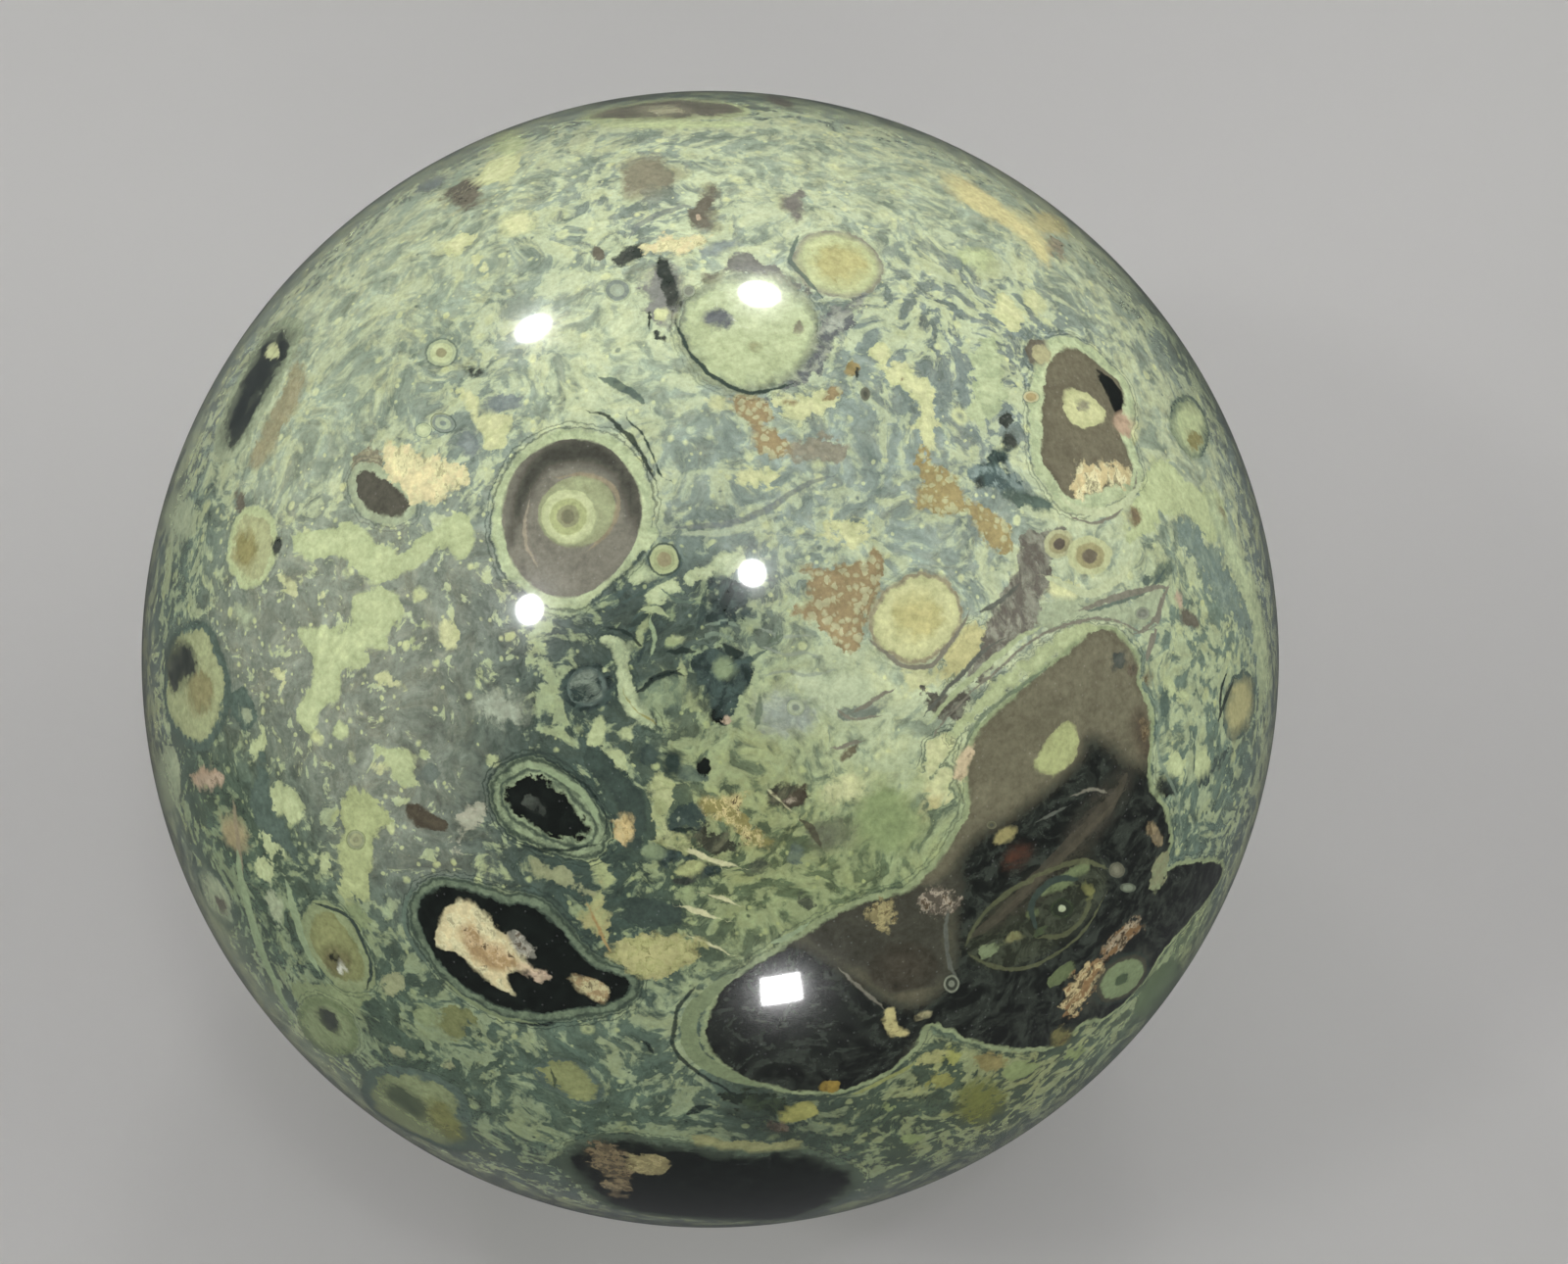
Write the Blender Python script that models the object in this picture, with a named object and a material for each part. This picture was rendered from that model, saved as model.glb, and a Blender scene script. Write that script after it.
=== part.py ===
"""A polished ball of kambaba jasper, ground from one piece of stone.

The ball stands on the floor plane, with its centre straight above the origin.
It keeps one small flat under it, a few millimetres across and a fraction of
a millimetre deep, on which it rests without rolling.
"""

import math

import bmesh
import bpy
from mathutils import Vector

# Driving dimensions, in metres and radians
BALL_DIAMETER = 0.070
FLAT_HALF_ANGLE = math.radians(6.5)  # seen from the ball's centre, so the ball stands on a slope up to this
ICO_SUBDIVISIONS = 5  # facets about 2.4 mm across, within 0.03 mm of the round

# The two rings of facet corners nearest the lowest point, which the flat takes in, lie inside this angle
FLAT_REACH = math.radians(9.0)

# Worked out from the driving dimensions
BALL_RADIUS = BALL_DIAMETER / 2
FLAT_RADIUS = BALL_RADIUS * math.sin(FLAT_HALF_ANGLE)
CENTRE_HEIGHT = BALL_RADIUS * math.cos(FLAT_HALF_ANGLE)

# The stone's mean colour, which is linear, and its hand-polished gloss
STONE_COLOUR = (0.26, 0.34, 0.22, 1.0)
STONE_ROUGHNESS = 0.12

DOWN = Vector((0.0, 0.0, -1.0))


def clear_scene():
    """Removes every object that the file came with."""
    for thing in list(bpy.data.objects):
        bpy.data.objects.remove(thing, do_unlink=True)


def stone_material():
    """Polished green stone."""
    material = bpy.data.materials.new("polished_jasper")
    material.use_nodes = True
    shader = material.node_tree.nodes["Principled BSDF"]
    shader.inputs["Base Color"].default_value = STONE_COLOUR
    shader.inputs["Roughness"].default_value = STONE_ROUGHNESS
    shader.inputs["Metallic"].default_value = 0.0
    return material


def grind_flat(ball):
    """Turns the facets round the lowest point into one flat face.

    The outermost corners of that patch go on the flat's rim, which is still on the round,
    and the corners inside them are dissolved into one face.
    """
    patch = [corner for corner in ball.verts if DOWN.angle(corner.co) < FLAT_REACH]
    rim = [corner for corner in patch if any(edge.other_vert(corner) not in patch for edge in corner.link_edges)]
    for corner in rim:
        outward = Vector((corner.co.x, corner.co.y, 0.0)).normalized()
        corner.co = outward * FLAT_RADIUS + DOWN * CENTRE_HEIGHT
    inner = [corner for corner in patch if corner not in rim]
    bmesh.ops.dissolve_verts(ball, verts=inner)


def make_ball(name):
    """Builds the ball round its own centre and stands it on the floor plane."""
    ball = bmesh.new()
    bmesh.ops.create_icosphere(ball, subdivisions=ICO_SUBDIVISIONS, radius=BALL_RADIUS)
    grind_flat(ball)
    bmesh.ops.recalc_face_normals(ball, faces=ball.faces)
    mesh = bpy.data.meshes.new(name)
    ball.to_mesh(mesh)
    ball.free()
    mesh.shade_smooth()
    mesh.materials.append(stone_material())
    stone = bpy.data.objects.new(name, mesh)
    stone.location = (0.0, 0.0, CENTRE_HEIGHT)
    bpy.context.scene.collection.objects.link(stone)
    return stone


clear_scene()
make_ball("jasper_ball")
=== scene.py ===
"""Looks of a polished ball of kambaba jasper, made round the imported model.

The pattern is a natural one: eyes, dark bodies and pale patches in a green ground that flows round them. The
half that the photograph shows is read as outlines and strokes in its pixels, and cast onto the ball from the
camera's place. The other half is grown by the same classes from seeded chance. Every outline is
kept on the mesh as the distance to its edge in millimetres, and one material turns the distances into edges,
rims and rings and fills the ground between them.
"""

import logging
import math
from dataclasses import dataclass, field
from enum import Enum
from typing import Any, ClassVar, Iterable

import bpy
import numpy as np
from mathutils import Matrix, Quaternion, Vector


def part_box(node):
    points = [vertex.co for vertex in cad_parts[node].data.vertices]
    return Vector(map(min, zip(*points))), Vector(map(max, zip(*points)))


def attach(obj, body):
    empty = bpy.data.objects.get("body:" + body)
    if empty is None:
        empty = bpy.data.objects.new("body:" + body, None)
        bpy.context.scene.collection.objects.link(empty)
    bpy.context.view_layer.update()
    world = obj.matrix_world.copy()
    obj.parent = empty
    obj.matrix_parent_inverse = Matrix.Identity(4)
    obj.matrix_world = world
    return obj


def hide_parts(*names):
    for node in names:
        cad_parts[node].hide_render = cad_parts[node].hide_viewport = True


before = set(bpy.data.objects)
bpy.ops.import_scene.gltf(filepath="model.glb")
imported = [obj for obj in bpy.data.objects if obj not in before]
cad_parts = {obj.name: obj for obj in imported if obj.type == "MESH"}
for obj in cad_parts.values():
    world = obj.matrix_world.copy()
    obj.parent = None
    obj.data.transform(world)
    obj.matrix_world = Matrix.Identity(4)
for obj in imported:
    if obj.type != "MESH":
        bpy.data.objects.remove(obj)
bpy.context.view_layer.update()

LOG = logging.getLogger("jasper")

# The photograph's size, in pixels
IMAGE_SIZE = (1600, 1290)
SENSOR_WIDTH = 36.0  # mm

MM = 0.001

# Typical polished jasper, which is fine quartz
QUARTZ_IOR = 1.54

# How many points are measured at once, which keeps the arrays small
POINTS_AT_ONCE = 4000

# What keeps a division by a length, or by its square, from failing
LEAST = 1e-9
LEAST_SQUARE = 1e-12

PHASES = (0, 6.3)  # radians, from which a wave's start is drawn
SEEDS = 1 << 30  # how many seeds there are to draw from

Point = tuple[float, float]
Socket = bpy.types.NodeSocket


def linear(code: str) -> tuple[float, float, float, float]:
    """A hex sRGB colour such as "#A9B984" as the linear one that shaders use, with an alpha of one."""
    parts = [int(code[place:place + 2], 16) / 255.0 for place in (1, 3, 5)]
    return *(part / 12.92 if part <= 0.04045 else ((part + 0.055) / 1.055) ** 2.4 for part in parts), 1.0


def put_in_scene(name: str, data: bpy.types.ID) -> bpy.types.Object:
    """Makes an object and links it into the scene.

    Args:
        name: the object's name.
        data: its mesh, lamp or camera.

    Returns:
        The object.
    """
    thing = bpy.data.objects.new(name, data)
    bpy.context.scene.collection.objects.link(thing)
    return thing


def unit(vectors: np.ndarray) -> np.ndarray:
    """Vectors of the same direction and a length of one."""
    return vectors / np.linalg.norm(vectors, axis=-1, keepdims=True)


def ease(low: float, high: float, value: np.ndarray) -> np.ndarray:
    """A smooth step from 0 at low to 1 at high."""
    share = np.clip((value - low) / (high - low), 0.0, 1.0)
    return share * share * (3.0 - 2.0 * share)


def towards(round_by: float, up_by: float) -> np.ndarray:
    """The direction some degrees round the ball from its front and some degrees up from its waist."""
    side, rise = math.radians(round_by), math.radians(up_by)
    return np.array((math.sin(side) * math.cos(rise), -math.cos(side) * math.cos(rise), math.sin(rise)))


def leaned(x: np.ndarray, y: np.ndarray, lean: float) -> np.ndarray:
    """Points turned round the origin by some degrees, one a row."""
    cos, sin = math.cos(math.radians(lean)), math.sin(math.radians(lean))
    return np.stack([x * cos - y * sin, x * sin + y * cos], axis=-1)


def smooth_curve(points: tuple[float, ...], closed: bool, steps: int = 6) -> np.ndarray:
    """Runs a Catmull-Rom curve through given points.

    Args:
        points: x and y in turn, in pixels.
        closed: whether the curve comes back to its start.
        steps: how many points to make for each one given.

    Returns:
        The curve's points, one a row.
    """
    knots = np.reshape(points, (-1, 2)).astype(float)
    if closed:
        padded = np.vstack([knots[-1:], knots, knots[:2]])
    else:
        padded = np.vstack([2 * knots[:1] - knots[1:2], knots, 2 * knots[-1:] - knots[-2:-1]])
    share = np.linspace(0.0, 1.0, steps, endpoint=False)[:, None]
    spans = []
    for a, b, c, d in zip(padded, padded[1:], padded[2:], padded[3:]):
        spans.append(0.5 * (2 * b + (c - a) * share + (2 * a - 5 * b + 4 * c - d) * share ** 2
                            + (3 * b - a - 3 * c + d) * share ** 3))
    if not closed:
        spans.append(knots[-1:])
    return np.vstack(spans)


@dataclass(frozen=True)
class Ball:
    """The ball's place and size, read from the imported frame."""

    radius: float
    centre: Vector

    @classmethod
    def from_frame(cls) -> "Ball":
        """Reads the ball from its node's box.

        Returns:
            The ball. Its box is cut by the small flat below, so the centre hangs from the top.
        """
        low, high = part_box("jasper_ball")
        radius = (high[0] - low[0]) / 2
        return cls(radius, Vector(((high[0] + low[0]) / 2, (high[1] + low[1]) / 2, high[2] - radius)))

    @property
    def radius_mm(self) -> float:
        """The radius in millimetres."""
        return self.radius / MM


@dataclass(frozen=True)
class Viewpoint:
    """Where the photograph was taken from: close above the ball, a little to the front."""

    ball: Ball
    elevation: float = math.radians(70.0)
    distance: float = 0.200
    ball_middle: Point = (727.0, 672.0)  # px, the middle of the round outline
    ball_reach: float = 580.0  # px, its radius

    @property
    def focal(self) -> float:
        """The focal length in pixels that gives the outline its radius."""
        return self.ball_reach * math.sqrt(self.distance ** 2 - self.ball.radius ** 2) / self.ball.radius

    @property
    def towards_camera(self) -> Vector:
        """The direction from the ball's centre to the camera."""
        return Vector((0.0, -math.cos(self.elevation), math.sin(self.elevation)))

    @property
    def place(self) -> Vector:
        """Where the camera stands."""
        return self.ball.centre + self.towards_camera * self.distance

    def turn(self) -> Matrix:
        """Turns the camera so that the ball's centre falls on its pixel.

        Returns:
            The camera's rotation, with columns that point right, up and back.
        """
        right = Vector((1.0, 0.0, 0.0))
        up = self.towards_camera.cross(right)
        aside = (IMAGE_SIZE[0] / 2 - self.ball_middle[0]) * self.distance / self.focal
        above = (self.ball_middle[1] - IMAGE_SIZE[1] / 2) * self.distance / self.focal
        aim = self.ball.centre + right * aside + up * above
        back = (self.place - aim).normalized()
        right = up.cross(back).normalized()
        return Matrix((right, back.cross(right), back)).transposed()

    def cast(self, pixels: np.ndarray) -> np.ndarray:
        """Throws pixels of the photograph onto the ball.

        Args:
            pixels: x and y in each row, in the photograph's frame.

        Returns:
            Unit vectors from the ball's centre. A pixel outside the outline lands on the ball's limb.
        """
        aside = (pixels[:, 0] - IMAGE_SIZE[0] / 2) / self.focal
        above = (IMAGE_SIZE[1] / 2 - pixels[:, 1]) / self.focal
        rays = np.stack([aside, above, -np.ones_like(aside)], axis=1) @ np.array(self.turn()).T
        rays = unit(rays)
        start = np.array(self.place - self.ball.centre)
        half = rays @ start
        inside = np.maximum(half ** 2 - (start @ start - self.ball.radius ** 2), 0.0)
        return unit(start + rays * (-half - np.sqrt(inside))[:, None])

    def glance(self, pixel: Point) -> tuple[Vector, Vector]:
        """Finds where a mirror image seen at a pixel comes from.

        Args:
            pixel: x and y of the glint in the photograph.

        Returns:
            The point on the ball and the direction from it to what is mirrored there.
        """
        normal = Vector(self.cast(np.array([pixel]))[0])
        point = self.ball.centre + normal * self.ball.radius
        sight = (point - self.place).normalized()
        return point, sight.reflect(normal)

    def set_camera(self) -> None:
        """Makes the scene's camera."""
        lens = bpy.data.cameras.new("camera")
        lens.sensor_width = SENSOR_WIDTH
        lens.lens = SENSOR_WIDTH * self.focal / IMAGE_SIZE[0]
        lens.clip_start = MM
        camera = put_in_scene("camera", lens)
        camera.matrix_world = Matrix.Translation(self.place) @ self.turn().to_4x4()
        bpy.context.scene.camera = camera


@dataclass(frozen=True)
class Chart:
    """A flat map of the ball round one direction, true to length along every line from its middle."""

    STEEP: ClassVar[float] = 0.95  # the height of a middle so near the pole that up is another way there

    middle: np.ndarray
    radius_mm: float

    def axes(self) -> tuple[np.ndarray, np.ndarray]:
        """Finds the chart's two axes.

        Returns:
            Unit vectors across and up the chart, the second as close to straight up as it goes.
        """
        pole = np.array((0.0, 1.0, 0.0) if abs(self.middle[2]) > self.STEEP else (0.0, 0.0, 1.0))
        across = unit(np.cross(pole, self.middle))
        return across, np.cross(self.middle, across)

    def flatten(self, directions: np.ndarray) -> np.ndarray:
        """Lays directions out on the chart.

        Args:
            directions: unit vectors from the ball's centre, one a row.

        Returns:
            Their two coordinates in millimetres.
        """
        across, upward = self.axes()
        x, y = directions @ across, directions @ upward
        reach = np.hypot(x, y)
        turn = np.arctan2(reach, directions @ self.middle)
        scale = self.radius_mm * turn / np.maximum(reach, LEAST)
        return np.stack([x * scale, y * scale], axis=-1)

    def cast(self, flat: np.ndarray) -> np.ndarray:
        """Puts points of the chart on the ball.

        Args:
            flat: coordinates in millimetres, one point a row.

        Returns:
            Unit vectors from the ball's centre.
        """
        across, upward = self.axes()
        reach = np.linalg.norm(flat, axis=1, keepdims=True)
        turn = reach / self.radius_mm
        aside = (flat[:, :1] * across + flat[:, 1:] * upward) / np.maximum(reach, LEAST)
        return unit(np.cos(turn) * self.middle + np.sin(turn) * aside)


class Edge(Enum):
    """How a marking meets its ground: how far its edge strays, and how wide it blends, in mm."""

    CUT = (0.05, 0.04)
    CLEAN = (0.16, 0.05)
    NATURAL = (0.34, 0.06)
    RAGGED = (0.75, 0.07)
    GLOW = (0.07, 0.2)
    SOFT = (0.28, 0.34)
    HAZE = (0.3, 0.6)
    MIST = (0.55, 1.0)


CUT, CLEAN, NATURAL, RAGGED, GLOW, SOFT, HAZE, MIST = Edge


@dataclass(frozen=True)
class Skin:
    """The colours inside a marking."""

    SHADE: ClassVar[float] = 0.83  # how much darker a vein is that is not given

    fill: str
    vein: str = ""  # without one, the fill a little darker
    mottle: float = 0.4  # how much of the vein's colour breaks through
    rings: float = 0.0  # strength of thin rings along the edge

    def facts(self) -> np.ndarray:
        """Puts the skin in one row.

        Returns:
            The fill, the mottle, the vein and the strength of the rings.
        """
        fill = np.array(linear(self.fill)[:3])
        vein = linear(self.vein)[:3] if self.vein else fill * self.SHADE
        return np.array((*fill, self.mottle, *vein, self.rings))


class Layer(Enum):
    """The layers of the pattern, lowest first."""

    PATCH = "patch"
    RUST = "rust"
    RIM = "rim"
    BODY = "body"
    CORE = "core"
    PUPIL = "pupil"
    CRYSTAL = "crystal"


ISLAND = Skin("#B9C494", "#A9B68A", 0.35)
ISLAND_WARM = Skin("#CBCF9E", "#BCC48F", 0.4)
STREAM = Skin("#BAC69B", "#94A281", 0.6)
SAGE = Skin("#A5B08F", "#929E82", 0.5)
TEAL = Skin("#5C6C60", "#4A584E", 0.5)
BLACK = Skin("#141815", "#222924", 0.4)
PINE = Skin("#2F3A36", "#50615A", 0.7)
SOOT = Skin("#353B35", "#565A50", 0.5)
UMBER = Skin("#6C695A", "#5C5A4C", 0.4)
OLIVE = Skin("#6F6C57", "#615F4C", 0.4)
DARK_OLIVE = Skin("#45453A", "#38382F", 0.4)
KHAKI = Skin("#918D5E", "#7F7C52", 0.4)
ORB = Skin("#C4CEA0", "#B4BE93", 0.25, 0.15)
ORB_KHAKI = Skin("#C2BE82", "#B3AE75", 0.3, 0.3)
CREAM = Skin("#D8D4A6", "#B59D6E", 0.6)
TAN = Skin("#B7A274", "#94794F", 0.7)
RUSTY = Skin("#958663", "#B0AF8A", 0.9)
BROWN = Skin("#7F7358", "#6A6150", 0.5)
PINK = Skin("#C3B096", "#A99A80", 0.5)
GREEN = Skin("#7A8963", "#6A7956", 0.5)
PALE_GREEN = Skin("#8B9870", "#7A8963", 0.5)


@dataclass(frozen=True)
class Oval:
    """A round outline, in the photograph's pixels or in a chart's millimetres."""

    POINTS: ClassVar[int] = 36
    LOBES: ClassVar[tuple[int, ...]] = (2, 3, 4, 5)  # the bulges of each wave that makes it uneven

    x: float
    y: float
    length: float  # half of it
    width: float  # half of it
    lean: float = 0.0  # degrees from x towards y
    uneven: float = 0.0  # how far it strays from an ellipse, as a share
    seed: int = 0

    def directions(self, view: Viewpoint | Chart) -> np.ndarray:
        """Draws the outline on the ball.

        Args:
            view: what casts it there.

        Returns:
            Unit vectors, one a row.
        """
        chance = np.random.default_rng(self.seed)
        turn = np.linspace(0.0, 2 * math.pi, self.POINTS, endpoint=False)
        reach = 1.0 + sum(self.uneven * chance.uniform(-1, 1)
                          * np.sin(lobes * turn + chance.uniform(*PHASES)) for lobes in self.LOBES)
        ring = leaned(self.length * np.cos(turn) * reach, self.width * np.sin(turn) * reach, self.lean)
        return view.cast((self.x, self.y) + ring)

    def axes(self, view: Viewpoint | Chart) -> np.ndarray:
        """The middle and the ends of the two half axes on the ball."""
        ends = leaned(np.array((0.0, self.length, 0.0)), np.array((0.0, 0.0, self.width)), self.lean)
        return view.cast((self.x, self.y) + ends)


@dataclass(frozen=True)
class Trace:
    """An outline given as a few points on a smooth closed curve."""

    corners: tuple[float, ...]  # x and y in turn

    def directions(self, view: Viewpoint | Chart) -> np.ndarray:
        """The outline on the ball."""
        return view.cast(smooth_curve(self.corners, closed=True))


def bent_course(bend: float, reach: float, lean: float, wave: float) -> tuple[float, ...]:
    """Makes the course of a flow line such as runs beside a body.

    Args:
        bend: its radius, in mm.
        reach: its length, in mm.
        lean: the way it runs, in degrees.
        wave: how far it swings to and fro, in mm.

    Returns:
        x and y in turn, in mm from the course's own middle.
    """
    share = np.linspace(-0.5, 0.5, 7)
    turn = share * reach / bend
    radius = bend + wave * np.sin(share * 9.0)
    return tuple(leaned(radius * np.sin(turn), radius * np.cos(turn) - bend, lean).ravel())


@dataclass(frozen=True)
class Rim:
    """A pale band round a marking, with a thin dark line outside it."""

    width: float  # mm
    skin: Skin = STREAM
    line: float = 0.8


@dataclass(frozen=True)
class Mark:
    """Patches, bodies, cores or spots that look alike."""

    skin: Skin
    outlines: tuple[Oval | Trace, ...]
    edge: Edge = NATURAL
    rim: Rim | None = None
    line: float = 0.0  # strength of a thin dark line along the edge


@dataclass(frozen=True)
class Tint:
    """A soft change of colour inside the markings of one layer."""

    layer: Layer
    outline: Oval | Trace
    skin: Skin
    blend: float = 1.0  # mm over which it comes in


@dataclass(frozen=True)
class Stroke:
    """Thin lines of another colour, each on a smooth curve through a few points."""

    courses: tuple[tuple[float, ...], ...]  # x and y in turn
    width: float  # mm at its widest
    tone: str
    strength: float = 1.0


@dataclass(frozen=True)
class Eye:
    """A small ringed eye: a rim, a ring and a pupil."""

    outline: Oval
    rim: str
    ring: str
    pupil: str
    ring_share: float = 0.6
    pupil_share: float = 0.3
    line: float = 0.6  # strength of the dark line outside


@dataclass(frozen=True)
class Ground:
    """One kind of ground between the markings."""

    deep: str
    pale: str
    cover: float  # share of the pale colour
    soft: float  # how gently the two meet
    specks: float = 0.3  # how many small pale dots
    flow: float = 0.3  # how much it runs in bands round the bodies
    veins: float = 0.2  # strength of dark pits and lines
    fine: float = 0.4  # how small its patches are

    def facts(self) -> np.ndarray:
        """The colours and the settings in one row."""
        return np.array((*linear(self.deep)[:3], *linear(self.pale)[:3], self.cover, self.soft, self.specks,
                         self.flow, self.veins, self.fine))


@dataclass(frozen=True)
class Zone:
    """Parts of the ball that share a kind of ground."""

    ground: Ground
    reach: float  # mm
    middles: tuple[float, ...]  # px, x and y in turn


def edge_distance(points: np.ndarray, ring: np.ndarray) -> np.ndarray:
    """Measures how far points lie inside a closed outline, some thousands of points at a time.

    Args:
        points: coordinates, one point a row.
        ring: the outline's corners, one a row.

    Returns:
        The distance to the outline, negative outside it.
    """
    run = np.roll(ring, -1, axis=0) - ring
    length = np.maximum((run ** 2).sum(axis=1), LEAST_SQUARE)
    distances = []
    for some in np.array_split(points, max(1, len(points) // POINTS_AT_ONCE)):
        offset = some[:, None, :] - ring[None]
        along = np.clip((offset * run).sum(axis=-1) / length, 0.0, 1.0)
        gap = np.linalg.norm(offset - along[..., None] * run, axis=-1).min(axis=1)
        starts_above = offset[..., 1] < 0.0
        ends_above = offset[..., 1] < run[:, 1]
        rise = np.where(np.abs(run[:, 1]) < LEAST, LEAST, run[:, 1])
        left = offset[..., 0] < offset[..., 1] * run[:, 0] / rise
        inside = ((starts_above != ends_above) & left).sum(axis=1) % 2 == 1
        distances.append(np.where(inside, gap, -gap))
    return np.concatenate(distances)


def place_on_line(points: np.ndarray, line: np.ndarray) -> tuple[np.ndarray, np.ndarray]:
    """Finds where points lie beside an open line.

    Args:
        points: coordinates, one point a row.
        line: the line's points, one a row.

    Returns:
        The distance to the line, negative on its right, and the share of the line passed, from 0 to 1.
    """
    run = line[1:] - line[:-1]
    length = np.linalg.norm(run, axis=1)
    passed = np.concatenate([[0.0], np.cumsum(length)])
    offset = points[:, None, :] - line[None, :-1]
    along = np.clip((offset * run).sum(axis=-1) / np.maximum(length ** 2, LEAST_SQUARE), 0.0, 1.0)
    miss = offset - along[..., None] * run
    gap = np.linalg.norm(miss, axis=-1)
    nearest = gap.argmin(axis=1)
    rows = np.arange(len(points))
    side = run[nearest, 0] * miss[rows, nearest, 1] - run[nearest, 1] * miss[rows, nearest, 0]
    share = (passed[nearest] + along[rows, nearest] * length[nearest]) / passed[-1]
    return np.where(side < 0.0, -1.0, 1.0) * gap[rows, nearest], share


class LayerValues:
    """One layer of the pattern at every vertex: the nearest marking's distance, edge and colours."""

    FAR = -6.0  # mm, outside every marking
    SMALL = (0.7, 0.25)  # how far a small marking's edge may stray and blend, as shares of its own reach
    LEAST = 0.15  # mm, the least such reach

    def __init__(self, count: int) -> None:
        """Starts the layer empty."""
        self.gap = np.full(count, self.FAR)  # mm inside the nearest marking, negative outside
        self.facts = np.tile((0.1, 0.1, *[0.0] * 9), (count, 1))  # the edge, the line's strength and the skin

    def lay(self, near: np.ndarray, gap: np.ndarray, skin: Skin, edge: Edge, line: float) -> None:
        """Lays one outline, which holds wherever it is the nearest.

        Args:
            near: the vertices it may reach.
            gap: how far each of them lies inside it, in mm.
            skin: the marking's colours.
            edge: how it meets the ground.
            line: strength of the dark line along its edge.
        """
        wins = gap > self.gap[near]
        self.gap[near[wins]] = gap[wins]
        wander, soft = np.minimum(edge.value, np.multiply(self.SMALL, max(gap.max(), self.LEAST)))
        self.facts[near[wins]] = (wander, soft, line, *skin.facts())

    def tint(self, near: np.ndarray, gap: np.ndarray, skin: Skin, blend: float) -> None:
        """Blends a skin in over some mm at the edge of an outline, given each vertex's mm inside it."""
        share = ease(-blend / 2, blend / 2, gap)[:, None]
        self.facts[near, 3:] += share * (skin.facts() - self.facts[near, 3:])


class FaceChannel:
    """Fine marks kept face by face, so that two neighbours never blend: a mark owns its faces."""

    FAR = 99.0  # mm, where no mark reaches

    def __init__(self, count: int, fields: tuple[str, ...]) -> None:
        """Starts the channel empty.

        Args:
            count: the number of faces.
            fields: what is kept, four numbers for each at each corner of a face.
        """
        self.fields = fields
        self.gap = np.full(count, self.FAR)  # mm from each face to the mark that owns it
        self.values = np.zeros((count, 4, 4 * len(fields)))

    def has_room(self, near: np.ndarray) -> bool:
        """Whether none of these faces is owned yet."""
        return bool((self.gap[near] >= self.FAR).all())

    def own(self, near: np.ndarray, gap: np.ndarray, varied: np.ndarray, fixed: list[float]) -> None:
        """Gives a mark the faces to which it is the nearest.

        Args:
            near: the faces that it may reach.
            gap: its distance from each of them, in mm.
            varied: the first field at their corners, one corner a row.
            fixed: the other fields, which are the same all over.
        """
        wins = gap < self.gap[near]
        self.gap[near[wins]] = gap[wins]
        self.values[near[wins], :, :4] = varied.reshape(-1, 4, 4)[wins]
        self.values[near[wins], :, 4:] = fixed


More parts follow.
